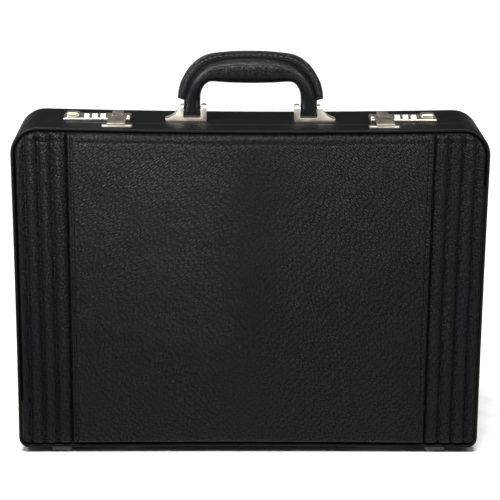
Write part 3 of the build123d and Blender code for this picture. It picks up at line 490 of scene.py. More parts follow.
def leather(name, pebble, bump, low, high, rough, lean=0.0, specular=0.3):
    """Chrome-tanned cowhide, drum-dyed black and embossed: small soft domes that catch the light
    one by one, with dull creases between them, their darker colour painted shade, and slow waves in
    the hide."""
    material, tree, shader = new_material(name)
    place = add_node(tree, "ShaderNodeTexCoord", output="Object")
    if lean:
        across = add_node(tree, "ShaderNodeSeparateXYZ", Vector=place)
        side = add_node(tree, "ShaderNodeMapRange", SMOOTH, Value=across,
                        From_Min=-60 * MM, From_Max=60 * MM)
        dome = add_node(tree, "ShaderNodeMix", VALUES, Factor=side,
                        A=pebbles(tree, place, pebble, lean), B=pebbles(tree, place, pebble, -lean))
    else:
        dome = milled(tree, place, pebble)
    skin = add_node(tree, "ShaderNodeTexNoise", Vector=place, Scale=2.6 / pebble, Detail=3.0)
    cloudy = add_node(tree, "ShaderNodeTexNoise", Vector=place, Scale=16.0, Detail=2.0)
    # The creases between the domes take the low colour and the tops the high one: painted shade in
    # the creases, on top of the shade the bump itself gives.
    colour = add_node(tree, "ShaderNodeMix", COLOURS, Factor=dome, A=linear(low), B=linear(high))
    polish = add_node(tree, "ShaderNodeMapRange", Value=cloudy, From_Min=0.3, From_Max=0.7,
                      To_Min=rough[0], To_Max=rough[1])
    shine = add_node(tree, "ShaderNodeMapRange", Value=dome, From_Max=0.7,
                     To_Min=0.35 * specular, To_Max=specular)
    soft = add_node(tree, "ShaderNodeBump", Height=cloudy, Distance=2.5 * MM, Strength=1.0)
    fine = add_node(tree, "ShaderNodeBump", Height=skin, Distance=0.25 * bump, Normal=soft)
    relief = add_node(tree, "ShaderNodeBump", Height=dome, Distance=bump, Strength=1.0, Normal=fine)
    wire(tree, shader, Base_Color=colour, Roughness=polish, Specular_IOR_Level=shine, Normal=relief)
    return material


def nickel_plate(name, colour, rough):
    """Die-cast zinc, brushed and nickel-plated: warm grey metal with a soft satin gloss and
    very fine lines along its length, duller in faint clouds."""
    material, tree, shader = new_material(name, Metallic=1.0)
    place = add_node(tree, "ShaderNodeTexCoord", output="Object")
    lines = add_node(tree, "ShaderNodeMapping", Vector=place, Scale=(250, 5000, 5000))
    brushed = add_node(tree, "ShaderNodeTexNoise", Vector=lines, Scale=1.0, Detail=2.0)
    cloudy = add_node(tree, "ShaderNodeTexNoise", Vector=place, Scale=120.0, Detail=3.0)
    tarnish = [0.86 * v for v in linear(colour)[:3]] + [1.0]
    base = add_node(tree, "ShaderNodeMix", COLOURS, Factor=cloudy, A=tarnish, B=linear(colour))
    polish = add_node(tree, "ShaderNodeMapRange", Value=cloudy, From_Min=0.3, From_Max=0.7,
                      To_Min=rough[0], To_Max=rough[1])
    relief = add_node(tree, "ShaderNodeBump", Height=brushed, Distance=0.02 * MM, Strength=0.6)
    wire(tree, shader, Base_Color=base, Roughness=polish, Normal=relief)
    return material


def moulded(name, colour, rough, grain=0.4, bump=0.02, **constants):
    """Moulded plastic or baked paint: one even colour, with the faint orange-peel of a mould."""
    material, tree, shader = new_material(name, **constants)
    place = add_node(tree, "ShaderNodeTexCoord", output="Object")
    peel = add_node(tree, "ShaderNodeTexNoise", Vector=place, Scale=1 / (grain * MM), Detail=2.0)
    cloudy = add_node(tree, "ShaderNodeTexNoise", Vector=place, Scale=40.0, Detail=2.0)
    base = add_node(tree, "ShaderNodeMix", COLOURS, Factor=cloudy,
                    A=darker(colour, 0.88), B=linear(colour))
    polish = add_node(tree, "ShaderNodeMapRange", Value=cloudy, From_Min=0.3, From_Max=0.7,
                      To_Min=rough[0], To_Max=rough[1])
    relief = add_node(tree, "ShaderNodeBump", Height=peel, Distance=bump * MM, Strength=1.0)
    wire(tree, shader, Base_Color=base, Roughness=polish, Normal=relief)
    return material


def woven(name, colour, thread):
    """Plain-woven polyester lining: threads over and under in a small even check, with the
    soft sheen of a filling yarn. Its threads are drawn three times as coarse as real ones."""
    material, tree, shader = new_material(name, Specular_IOR_Level=0.3, Sheen_Weight=0.25,
                                          Sheen_Roughness=0.5)
    place = add_node(tree, "ShaderNodeTexCoord", output="Object")
    parts = add_node(tree, "ShaderNodeSeparateXYZ", Vector=place).node.outputs
    upright = add_node(tree, "ShaderNodeMath", {"operation": "ADD"},
                       input_0=parts["Y"], input_1=parts["Z"])
    waves = []
    for source in (parts["X"], upright):
        scaled = add_node(tree, "ShaderNodeMath", {"operation": "MULTIPLY"},
                          input_0=source, input_1=math.pi / thread)
        waves.append(add_node(tree, "ShaderNodeMath", {"operation": "SINE"}, input_0=scaled))
    crossing = add_node(tree, "ShaderNodeMath", {"operation": "MULTIPLY"},
                        input_0=waves[0], input_1=waves[1])
    height = add_node(tree, "ShaderNodeMapRange", Value=crossing, From_Min=-1.0)
    base = add_node(tree, "ShaderNodeMix", COLOURS, Factor=height,
                    A=darker(colour, 0.62), B=linear(colour))
    cloudy = add_node(tree, "ShaderNodeTexNoise", Vector=place, Scale=25.0, Detail=2.0)
    polish = add_node(tree, "ShaderNodeMapRange", Value=cloudy, From_Min=0.3, From_Max=0.7,
                      To_Min=0.65, To_Max=0.85)
    relief = add_node(tree, "ShaderNodeBump", Height=height, Distance=0.25 * MM, Strength=0.8)
    wire(tree, shader, Base_Color=base, Roughness=polish, Normal=relief)
    return material


def spun_thread(name, colour):
    """Bonded polyester sewing thread: twisted plies that run slantwise, with a waxy gloss."""
    material, tree, shader = new_material(name, Specular_IOR_Level=0.4)
    place = add_node(tree, "ShaderNodeTexCoord", output="Object")
    slant = add_node(tree, "ShaderNodeMapping", Vector=place, Rotation=(0.7, 0.7, 0.0))
    plies = add_node(tree, "ShaderNodeTexWave", Vector=slant, Scale=1 / (2.2 * MM))
    base = add_node(tree, "ShaderNodeMix", COLOURS, Factor=plies,
                    A=darker(colour, 0.5), B=linear(colour))
    polish = add_node(tree, "ShaderNodeMapRange", Value=plies, To_Min=0.55, To_Max=0.4)
    relief = add_node(tree, "ShaderNodeBump", Height=plies, Distance=0.1 * MM, Strength=0.5)
    wire(tree, shader, Base_Color=base, Roughness=polish, Normal=relief)
    return material


# ---- the case: leather walls, padded panels and their stitching --------------------------
def build_wall_cover(half, facing):
    """Leather over one tray's side walls, turned over the rim and down into the recess."""
    rounding = sizes().rim_round
    seam, rim = SEAM_EDGE[half], facing * RIM_Y
    middle = (CASE_TOP + CASE_LOW) / 2
    cover = case_face(seam, 0.0, facing)
    push(rim - facing * rounding - seam)
    round_in(rounding, 5)
    inset(RIM_WIDTH - 2 * rounding)
    round_down(rounding, 5)
    push(facing * (RECESS_Y - RIM_Y + rounding))
    inset(RECESS_LEDGE)
    drop_faces(cover, lambda f, c: abs(f.normal.y) > 0.9 and (
        abs(c.y - seam) < 0.01 * MM or abs(c.x) < MM and abs(c.z - middle) < MM))
    outward(cover)
    apply_modifier(cover, "SOLIDIFY", thickness=sizes().wall_leather, offset=-1,
                   use_even_offset=True)
    bow_piece(cover)
    return cover


def lock_case_boxes():
    """Boxes that clear the lock cases, plates and brackets out of the base's leather."""
    for side in SIDES:
        low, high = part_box(f"lock_case_{side}")
        yield (low.x, low.y, low.z), (high.x, high.y, CASE_TOP + MM)
        low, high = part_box(f"lock_plate_{side}")
        yield (low.x, low.y, low.z), (high.x, high.y, CASE_TOP + MM)
        low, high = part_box(f"handle_bracket_{side}")
        yield (low.x, low.y, low.z), (high.x, high.y, CASE_TOP + MM)


def hinge_boxes(half):
    """Boxes that clear the hinge leaves and foot plates out of the leather under the case."""
    low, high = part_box(f"hinge_{half}_leaves")
    length = high.x - HINGE_NEAR_END
    for side in SIDES.values():
        near, far = sorted((side * high.x, side * (high.x - length)))
        yield (near, low.y, 0.0), (far, high.y, high.z)
    low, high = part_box(f"{half}_foot_plates")
    for side in SIDES.values():
        near, far = sorted((side * high.x, side * (high.x - FOOT_PLATE_WIDTH)))
        yield (near, low.y, 0.0), (far, high.y, high.z)


def catch_boxes():
    """Boxes that clear the catch plates out of the lid's leather."""
    for side in SIDES:
        low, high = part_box(f"catch_plate_{side}")
        yield (low.x, low.y, low.z), (high.x, high.y, CASE_TOP + MM)


class ATTACHE_OT_wall_covers(bpy.types.Operator):
    """Smooth leather over the side walls and rims of both halves"""
    bl_idname = "attache.wall_covers"
    bl_label = "Wall Covers"

    def execute(self, context):
        # The darker of its two colours goes in the grain's creases as painted shade.
        material = leather("SmoothWallLeather", 0.9 * MM, 0.06 * MM, "#060607", "#090a0b",
                           (0.42, 0.54), specular=0.13)
        for half, facing in HALVES.items():
            cover = build_wall_cover(half, facing)
            openings = list(hinge_boxes(half))
            openings += lock_case_boxes() if half == "base" else catch_boxes()
            cut(cover, openings)
            complete(cover, f"{half}_wall_leather", half, material,
                     [f"{half}_wall_cover"], smooth=50)
        return {"FINISHED"}


def roll(distance, width):
    """Height share of a rolled edge: a quarter ellipse, 1 from its width inwards."""
    t = min(1.0, max(0.0, distance / width))
    return math.sqrt(max(0.0, 1 - (1 - t) ** 2))


def swell(x, z, facing):
    """The soft unevenness of the foam under the leather."""
    where = Vector((x, 40 * MM * facing, z))
    return 0.35 * MM * noise.noise(where / (70 * MM)) + 0.12 * MM * noise.noise(where / (18 * MM))


def top_crease(x, z):
    """A soft crease below the rolled top edge, where the leather dips to the flat panel."""
    wander = 0.8 * MM * noise.noise(Vector((x / (60 * MM), 0.0, 7.3)))
    return dip(CASE_TOP - PANEL_INSET - z, 9.0 * MM + wander, 2.0 * MM)


def centre_height(x, z, facing):
    """Height of the centre panel over its recess: rolled at top and bottom, folded at its ends."""
    full = CROWN_Y - RECESS_Y
    width = sizes().roll_width
    to_end = RIB_START - abs(x)
    to_rim = edge_distance(x, z, PANEL_INSET)
    height = full * roll(to_rim, width) * (0.55 + 0.45 * roll(to_end, 1.6 * MM))
    height -= 1.5 * MM * dip(to_end, 4.0 * MM, 1.1 * MM) * roll(to_rim, width)
    height -= 0.9 * MM * top_crease(x, z) * step(to_end, 3 * MM, 12 * MM)
    crown = step(to_end, 4 * MM, 40 * MM) * step(to_rim, 6 * MM, 60 * MM)
    return max(0.0, height + 0.9 * MM * crown + swell(x, z, facing) * roll(to_rim, 3 * width))


def rib_height(x, z, facing):
    """Height of the ribbed panel: four ribs with sewn valleys, the last one rolled outwards."""
    full = CROWN_Y - RECESS_Y
    width = sizes().roll_width
    across = abs(x)
    beyond = 2 * CASE_RIGHT - 2 * PANEL_INSET - RIB_VALLEYS[-1]
    edges = (RIB_START + 0.6 * MM,) + RIB_VALLEYS + (beyond,)
    to_rim = edge_distance(x, z, PANEL_INSET)
    arch = 0.0
    for low, high in zip(edges, edges[1:]):
        if low <= across <= high:
            u = abs(2 * (across - low) / (high - low) - 1)
            arch = 1 - u ** 2.0
    valley = sizes().rib_puff * (1 - arch)
    height = (full - valley) * roll(to_rim, width)
    height -= 0.8 * MM * top_crease(x, z)
    return max(0.0, height + swell(x, z, facing) * roll(to_rim, 3 * width))


def panel_piece(x_low, x_high, columns, rows, height_at, facing, even):
    """A padded panel between two x, its face lifted by height_at over the recess."""
    def place(u, v):
        x = between(x_low, x_high, u if even else crowd(u))
        across = abs(x) - (CASE_RIGHT - TOP_CORNER)
        top_radius = TOP_CORNER - PANEL_INSET
        low_radius = LOW_CORNER - PANEL_INSET
        beside = abs(x) - (CASE_RIGHT - LOW_CORNER)
        top, low = CASE_TOP - PANEL_INSET, CASE_LOW + PANEL_INSET
        if across > 0:
            top -= top_radius - math.sqrt(max(0.0, top_radius ** 2 - across ** 2))
        if beside > 0:
            low += low_radius - math.sqrt(max(0.0, low_radius ** 2 - beside ** 2))
        z = between(low, top, crowd(v))
        return bow(Vector((x, facing * (RECESS_Y + height_at(x, z, facing)), z)))
    return shaped_grid(columns, rows, place)


class ATTACHE_OT_centre_panels(bpy.types.Operator):
    """Padded centre panels of the front and the back, with folded ends and a rolled edge"""
    bl_idname = "attache.centre_panels"
    bl_label = "Centre Panels"

    def execute(self, context):
        material = panel_leather()
        for half, facing, name in (("lid", -1, "lid_front_panel"), ("base", 1, "base_back_panel")):
            panel = panel_piece(-RIB_START, RIB_START, 150, 140, centre_height, facing, even=False)
            complete(panel, name + "_leather", half, material, [name], smooth=60)
        return {"FINISHED"}


class ATTACHE_OT_rib_panels(bpy.types.Operator):
    """Ribbed side panels of the front and the back, each with four foam-filled ribs"""
    bl_idname = "attache.rib_panels"
    bl_label = "Rib Panels"

    def execute(self, context):
        material = panel_leather()
        for half, facing in HALVES.items():
            for side_name, side in SIDES.items():
                name = f"{half}_rib_panel_{side_name}"
                near, far = RIB_START + 0.4 * MM, CASE_RIGHT - PANEL_INSET
                panel = panel_piece(side * near, side * far, 88, 140, rib_height, facing, even=True)
                complete(panel, name + "_leather", half, material, [name],
                         smooth=60)
        return {"FINISHED"}


def panel_leather():
    """The pebbled cowhide of the panels, made once and shared."""
    found = bpy.data.materials.get("PebbledPanelLeather")
    # The finish's crease black goes between the pebbles as painted shade.
    return found or leather("PebbledPanelLeather", sizes().pebble, 0.52 * MM, finish().leather,
                            finish().leather_high, (0.36, 0.46), lean=46.0, specular=0.12)


def one_stitch(length, thick):
    """One stitch lying along Z at the origin: a short thread, its ends tucked in behind (+Y)."""
    deselect()
    bpy.ops.mesh.primitive_cylinder_add(vertices=6, radius=thick / 2, depth=length)
    stitch = bpy.context.object
    edit(stitch)
    pick(stitch, "edges", lambda e, c: e.calc_length() > 0.9 * length)
    bpy.ops.mesh.subdivide(number_cuts=3)
    bpy.ops.object.mode_set(mode="OBJECT")
    for vertex in stitch.data.vertices:
        share = abs(vertex.co.z) / (length / 2)
        vertex.co.y += 0.9 * thick * share ** 3
        vertex.co.x *= 1 - 0.35 * share ** 3
    return stitch


def stitch_row(count, place):
    """A row of stitches. place(s, x, y, z) puts a point of stitch number s."""
    pitch = sizes().stitch_pitch
    row = one_stitch(0.68 * pitch, sizes().thread)
    apply_modifier(row, "ARRAY", count=count, use_relative_offset=False,
                   use_constant_offset=True, constant_offset_displace=(0, 0, pitch))
    for vertex in row.data.vertices:
        x, y, z = vertex.co
        number = min(count - 1, max(0, round(z / pitch)))
        vertex.co = place(number, x, y, z - number * pitch)
    return row


def panel_stitches(x, height_at, facing):
    """One upright row of stitches on a panel, sunk a little into the leather."""
    pitch = sizes().stitch_pitch
    low, high = CASE_LOW + PANEL_INSET + STITCH_MARGIN, CASE_TOP - PANEL_INSET - STITCH_MARGIN
    corner = abs(x) - (CASE_RIGHT - TOP_CORNER)
    if corner > 0:
        radius = TOP_CORNER - PANEL_INSET
        high -= radius - math.sqrt(radius ** 2 - corner ** 2)
    count = int((high - low) / pitch)

    def place(number, dx, dy, dz):
        z = low + (number + 0.5) * pitch + dz
        surface = RECESS_Y + height_at(x, z, facing)
        return bow(Vector((x + dx, facing * (surface + 0.15 * sizes().thread) - facing * dy, z)))
    return stitch_row(count, place)


class ATTACHE_OT_panel_stitches(bpy.types.Operator):
    """Rows of stitches in the valleys of the ribs and along the folded ends of the panels"""
    bl_idname = "attache.panel_stitches"
    bl_label = "Panel Stitches"

    def execute(self, context):
        material = spun_thread("BondedBlackThread", "#232427")
        for half, facing in HALVES.items():
            for side_name, side in SIDES.items():
                rows = [panel_stitches(side * x, rib_height, facing) for x in RIB_VALLEYS]
                fold = side * (RIB_START - FOLD_STITCHES)
                rows.append(panel_stitches(fold, centre_height, facing))
                row = joined(rows)
                outward(row)
                complete(row, f"{half}_rib_stitches_{side_name}", half, material)
        return {"FINISHED"}


# ---- the handle --------------------------------------------------------------------------
# Stations in millimetres, from the end of one leg to the middle: outer x, z, inner x, z and
# half the depth for the grip; inner x, z and outer x, z for the welt.
GRIP_STATIONS = (
    (64.2, 337.0, 48.7, 337.0, 5.0),
    (64.4, 343.0, 48.5, 343.0, 5.5),
    (64.4, 350.0, 48.4, 350.5, 6.3),
    (62.5, 357.5, 47.9, 357.0, 7.6),
    (59.3, 367.0, 45.4, 363.4, 9.0),
    (52.3, 378.0, 41.8, 367.2, 10.0),
    (40.2, 387.2, 36.6, 368.6, 10.4),
    (21.0, 391.0, 20.5, 367.6, 10.5),
    (0.0, 392.2, 0.0, 367.2, 10.5),
)
WELT_STATIONS = (
    (64.0, 350.4, 70.4, 352.4),
    (62.0, 357.5, 69.2, 362.0),
    (58.8, 367.0, 65.6, 372.0),
    (51.6, 377.8, 56.4, 385.6),
    (39.6, 386.8, 42.6, 394.6),
    (20.6, 390.4, 21.6, 397.8),
    (0.0, 391.6, 0.0, 398.6),
)
WELT_STITCHED_LENGTH = 185 * MM


def whole_arch(stations, mirrored):
    """Stations of one side and their mirror, as one line across the handle."""
    far = []
    for station in reversed(stations[:-1]):
        far.append(tuple(-v if index in mirrored else v for index, v in enumerate(station)))
    return list(stations) + far


def tube(rings, around, section):
    """A closed tube whose ring t, 0 to 1, and angle a are put by section(t, a)."""
    deselect()
    bpy.ops.mesh.primitive_cylinder_add(vertices=around, radius=1, depth=1)
    piece = bpy.context.object
    edit(piece)
    pick(piece, "edges", lambda e, c: abs(e.verts[0].co.z - e.verts[1].co.z) > 0.5)
    bpy.ops.mesh.subdivide(number_cuts=rings)
    bpy.ops.object.mode_set(mode="OBJECT")
    for vertex in piece.data.vertices:
        x, y, z = vertex.co
        vertex.co = section(z + 0.5, math.atan2(y, x))
    outward(piece)
    return piece


def squared(value, power):
    """A cosine or sine pushed outwards, for a section between an ellipse and a rectangle."""
    return math.copysign(abs(value) ** power, value)


class ATTACHE_OT_grip(bpy.types.Operator):
    """Padded leather grip on the handle's steel core"""
    bl_idname = "attache.grip"
    bl_label = "Handle Grip"

    def execute(self, context):
        # The finish's crease black goes between the grain as painted shade.
        material = leather("GripLeather", 1.5 * MM, 0.13 * MM, finish().leather,
                           finish().leather_high, (0.26, 0.34), specular=0.24)
        low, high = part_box("handle_grip")
        middle_y = (low.y + high.y) / 2
        stations = whole_arch(GRIP_STATIONS, mirrored=(0, 2))

        def section(t, angle):
            ox, oz, ix, iz, depth = spline(stations, t)
            centre = Vector(((ox + ix) / 2, 0.0, (oz + iz) / 2))
            out = Vector(((ox - ix) / 2, 0.0, (oz - iz) / 2))
            ended = min(t, 1 - t)
            power = between(0.55, 0.9, step(ended, 0.0, 0.16))
            along = squared(math.cos(angle), power)
            aside = squared(math.sin(angle), power)
            point = centre + out * along
            pinch = 1 - 0.22 * step(along, 0.55, 1.0) * step(ended, 0.06, 0.2)
            puff = 1 + 0.02 * noise.noise(Vector((40 * t, 0.0, angle)))
            y = middle_y + depth * MM * aside * pinch * puff
            return Vector((point.x * MM, y, point.z * MM))

        grip = tube(150, 44, section)
        complete(grip, "handle_grip_leather", "handle", material,
                 ["handle_grip"], smooth=50)
        return {"FINISHED"}


class ATTACHE_OT_welt(bpy.types.Operator):
    """Welt sewn round the outside of the grip, with a row of stitches on each face"""
    bl_idname = "attache.welt"
    bl_label = "Handle Welt"

    def execute(self, context):
        material = bpy.data.materials["GripLeather"]
        low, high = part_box("handle_welt")
        middle_y = (low.y + high.y) / 2
        half = (high.y - low.y) / 2
        stations = whole_arch(WELT_STATIONS, mirrored=(0, 2))

        def section(t, angle):
            ix, iz, ox, oz = spline(stations, t)
            along = squared(math.cos(angle), 0.45)
            aside = squared(math.sin(angle), 0.45)
            share = (along + 1) / 2
            at_end = between(0.8, 1.0, step(min(t, 1 - t), 0, 0.02))
            thick = half * between(1.0, 0.72, share) * at_end
            x, z = between(ix, ox, share) * MM, between(iz, oz, share) * MM
            return Vector((x, middle_y + thick * aside, z))

        welt = tube(170, 20, section)
        complete(welt, "handle_welt_leather", "handle", material,
                 ["handle_welt"], smooth=50)
        thread = spun_thread("HandleThread", "#2a2b2e")
        pitch = sizes().stitch_pitch
        count = int(WELT_STITCHED_LENGTH / pitch)

        rows = []
        for facing in (-1, 1):
            def place(number, dx, dy, dz, facing=facing):
                t = 0.04 + 0.92 * (number * pitch + dz + pitch / 2) / (count * pitch)
                ix, iz, ox, oz = spline(stations, t)
                share = 0.5 + dx / (7 * MM)
                x, z = between(ix, ox, share) * MM, between(iz, oz, share) * MM
                return Vector((x, middle_y + facing * (0.86 * half + 0.1 * MM - dy), z))
            rows.append(stitch_row(count, place))
        row = joined(rows)
        outward(row)
        complete(row, "handle_welt_stitches", "handle", thread)
        return {"FINISHED"}


# ---- metal fittings ----------------------------------------------------------------------
def softened_copy(node, edge, segments=2):
    """A copy of a CAD node whose sharp edges are broken by a small bevel."""
    deselect()
    piece = bpy.data.objects.new(node + "_softened", frame["nodes"][node].data.copy())
    bpy.context.scene.collection.objects.link(piece)
    edit(piece)
    bpy.ops.mesh.select_all(action="SELECT")
    bpy.ops.mesh.remove_doubles(threshold=0.00002)
    bpy.ops.mesh.dissolve_limited(angle_limit=math.radians(1.5))
    bpy.ops.object.mode_set(mode="OBJECT")
    apply_modifier(piece, "BEVEL", width=edge, segments=segments, limit_method="ANGLE",
                   angle_limit=math.radians(32), use_clamp_overlap=True)
    return piece


def fit_metal(nodes, material, edge):
    """Replaces CAD nodes by softened copies of themselves in a metal finish."""
    for node in nodes:
        body = frame["nodes"][node]["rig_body"]
        piece = softened_copy(node, edge)
        complete(piece, node + "_metal", body, material, [node], smooth=35)


class ATTACHE_OT_fittings(bpy.types.Operator):
    """Locks, hasps, catches and handle brackets in nickel plate, with broken edges"""
    bl_idname = "attache.fittings"
    bl_label = "Metal Fittings"

    def execute(self, context):
        edge = sizes().metal_edge
        satin = nickel_plate("SatinNickelPlate", finish().nickel, (0.38, 0.50))
        bright = nickel_plate("BrightNickelPlate", finish().nickel, (0.30, 0.42))
        for side in SIDES:
            fit_metal([f"handle_bracket_{side}", f"catch_plate_{side}"], satin, edge)
            names = ("lock_plate", "hasp", "hasp_bracket", "push_button")
            fit_metal([f"{name}_{side}" for name in names], bright, edge)
        return {"FINISHED"}


# ---- numbers on the dials ----------------------------------------------------------------
# Numbers that face the user, one step before the top of the dial, from the outermost dial
# inwards. A step is in degrees.
SHOWN_NUMBERS = {"left": (1, 2, 2), "right": (0, 0, 2)}
DIAL_STEP = 36
DIGIT_SIZE = 4.1 * MM
DIGIT_BOLDNESS = 0.07 * MM
DIGIT_HALF_THICKNESS = 0.06 * MM


def dial_number(number, turn, centre, radius):
    """One numeral laid round a dial, its middle turned from the top by an angle."""
    deselect()
    bpy.ops.object.text_add()
    text = bpy.context.object
    text.data.body = str(number)
    text.data.size = DIGIT_SIZE
    text.data.align_x = "CENTER"
    text.data.align_y = "CENTER"
    text.data.resolution_u = 3
    text.data.offset = DIGIT_BOLDNESS
    text.data.extrude = DIGIT_HALF_THICKNESS
    bpy.ops.object.convert(target="MESH")
    mark = bpy.context.object
    edit(mark)
    bpy.ops.mesh.select_all(action="SELECT")
    bpy.ops.mesh.quads_convert_to_tris()
    bpy.ops.mesh.subdivide(number_cuts=2)
    bpy.ops.object.mode_set(mode="OBJECT")
    for vertex in mark.data.vertices:
        x, y, z = vertex.co
        angle = turn + y / radius
        reach = radius + z
        vertex.co = (centre.x + x, centre.y + reach * math.sin(angle),
                     centre.z + reach * math.cos(angle))
    return mark


class ATTACHE_OT_dial_numbers(bpy.types.Operator):
    """Numerals 0 to 9 printed round each lock dial"""
    bl_idname = "attache.dial_numbers"
    bl_label = "Dial Numbers"

    def execute(self, context):
        ink = moulded("BlackDialInk", "#1a1a1c", (0.45, 0.6), Specular_IOR_Level=0.4)
        for side, shown in SHOWN_NUMBERS.items():
            for index, front_number in enumerate(shown, start=1):
                node = f"dial_{side}_{index}"
                low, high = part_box(node)
                centre = (low + high) / 2
                radius = (high.z - low.z) / 2
                marks = []
                for number in range(10):
                    turn = math.radians(DIAL_STEP * (number - front_number - 1))
                    marks.append(dial_number(number, turn, centre, radius))
                marks = joined(marks)
                complete(marks, f"{node}_numbers", node, ink, smooth=20)
        return {"FINISHED"}


# ---- inside: linings, pockets and pen loops ----------------------------------------------
class ATTACHE_OT_linings(bpy.types.Operator):
    """Woven linings glued into both trays, with softly rounded inner corners"""
    bl_idname = "attache.linings"
    bl_label = "Linings"

    def execute(self, context):
        material = woven("WovenLining", finish().lining, 0.9 * MM)
        for half, facing in HALVES.items():
            low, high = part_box(f"{half}_lining")
            open_y = low.y if half == "base" else high.y
            floor_y = facing * max(abs(low.y), abs(high.y))
            floor_y -= facing * LINING_FLOOR_GAP
            tray = case_face(open_y, LINING_INSET, facing)
            push(floor_y - open_y)
            drop_faces(tray, lambda f, c: abs(f.normal.y) > 0.9 and abs(c.y - open_y) < 0.01 * MM)
            edit(tray)
            pick(tray, "edges",
                 lambda e, c: abs(c.y - floor_y) < 0.01 * MM and len(e.link_faces) == 2)
            bpy.ops.mesh.bevel(offset=LINING_CORNER, segments=4, affect="EDGES")
            bpy.ops.object.mode_set(mode="OBJECT")
            apply_modifier(tray, "SOLIDIFY", thickness=LINING_THICKNESS, offset=1,
                           use_even_offset=True)
            bow_piece(tray)
            if half == "base":
                boxes = []
                for side in SIDES:
                    low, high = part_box(f"lock_case_{side}")
                    boxes.append(((low.x, low.y, low.z), (high.x, high.y, CASE_TOP)))
                low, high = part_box("handle_backing_plates")
                for way in SIDES.values():
                    ends = sorted(way * end for end in BACKING_PLATE_ENDS)
                    boxes.append(((ends[0], low.y, low.z - 2 * MM), (ends[1], high.y, CASE_TOP)))
                cut(tray, boxes)
            complete(tray, f"{half}_woven_lining", half, material, [f"{half}_lining"],
                     smooth=50)
        return {"FINISHED"}


def skiver():
    """The thin leather of the pockets, made once and shared."""
    found = bpy.data.materials.get("SkiverLeather")
    # The darker of its two colours goes in the grain's creases as painted shade.
    return found or leather("SkiverLeather", 1.0 * MM, 0.08 * MM, "#101012", "#1c1d20",
                            (0.45, 0.6), specular=0.3)


class ATTACHE_OT_file_pocket(bpy.types.Operator):
    """Gathered file pocket inside the lid, with an elastic hem at its mouth"""
    bl_idname = "attache.file_pocket"
    bl_label = "File Pocket"

    def execute(self, context):
        low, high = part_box("lid_file_pocket")
        deep = high.y - low.y

        def place(u, v):
            x = between(low.x, high.x, crowd(u))
            z = between(low.z, high.z - 3 * MM, crowd(v, 0.6))
            inside = min(x - low.x, high.x - x, z - low.z)
            up = step(z, low.z + 90 * MM, high.z)
            uneven = 2 * noise.noise(Vector((x * 30, 0, 3)))
            gather = 0.5 * MM * up * math.sin(x / (3.4 * MM) + uneven)
            slack = 1.1 * MM * noise.noise(Vector((x / (60 * MM), 1.0, z / (80 * MM))))
            y = low.y + (deep - 0.9 * MM) * roll(inside, 7 * MM)
            return Vector((x, y + (gather + slack - 0.6 * MM) * roll(inside, 40 * MM), z))

        pocket = shaped_grid(150, 70, place, closed=False)
        outward(pocket)
        apply_modifier(pocket, "SOLIDIFY", thickness=POCKET_LEATHER, offset=0,
                       use_even_offset=True)
        complete(pocket, "lid_file_pocket_leather", "lid", skiver(),
                 ["lid_file_pocket"], smooth=60)

        def section(t, angle):
            x = between(low.x + 1 * MM, high.x - 1 * MM, t)
            gather = 0.35 * MM * math.sin(x / (1.7 * MM))
            y = low.y + (deep - 1.6 * MM) * roll(min(x - low.x, high.x - x), 7 * MM)
            y = max(y, low.y + 2.2 * MM)
            z = high.z - 3.2 * MM + (3.0 * MM + gather) * squared(math.cos(angle), 0.6)
            return Vector((x, y + (1.5 * MM + gather) * math.sin(angle) * 0.9, z))

        hem = tube(420, 12, section)
        complete(hem, "lid_file_pocket_hem", "lid", skiver(), smooth=60)
        return {"FINISHED"}


class ATTACHE_OT_card_pockets(bpy.types.Operator):
    """Two flat card pockets sewn on the file pocket, each with a turned hem and stitches"""
    bl_idname = "attache.card_pockets"
    bl_label = "Card Pockets"

    def execute(self, context):
        low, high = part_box("lid_card_pockets")
        thread = spun_thread("PocketThread", "#303136")
        pieces = []
        stitches = []
        pitch = sizes().stitch_pitch
        for bottom, top in CARD_POCKET_ROWS:
            def place(u, v, bottom=bottom, top=top):
                x = between(low.x, high.x, crowd(u, 0.9))
                z = between(bottom, top, crowd(v, 0.9))
                inside = min(x - low.x, high.x - x, z - bottom, top - z)
                hem = step(z, top - 7.2 * MM, top - 6.4 * MM)
                split = dip(x, (low.x + high.x) / 2, 0.9 * MM)
                y = low.y + (high.y - low.y) * roll(inside, 0.8 * MM)
                return Vector((x, y + 0.35 * MM * hem - 0.5 * MM * split, z))
            pieces.append(shaped_grid(70, 44, place))
            for x in (low.x + 2.5 * MM, high.x - 2.5 * MM):
                count = int((top - bottom - 4 * MM) / pitch)

                def upright(number, dx, dy, dz, x=x, bottom=bottom):
                    z = bottom + 2 * MM + (number + 0.5) * pitch + dz
                    return Vector((x + dx, high.y + 0.12 * MM - dy, z))
                stitches.append(stitch_row(count, upright))
            count = int((high.x - low.x - 4 * MM) / pitch)
            for height, rise in ((bottom + 2.5 * MM, 0.0), (top - 5.6 * MM, 0.35 * MM)):
                def level(number, dx, dy, dz, height=height, rise=rise):
                    x = low.x + 2 * MM + (number + 0.5) * pitch + dz
                    return Vector((x, high.y + rise + 0.12 * MM - dy, height + dx))
                stitches.append(stitch_row(count, level))
        complete(joined(pieces), "lid_card_pockets_leather", "lid", skiver(),
                 ["lid_card_pockets"], smooth=50)
        row = joined(stitches)
        outward(row)
        complete(row, "lid_card_pocket_stitches", "lid", thread)
        return {"FINISHED"}


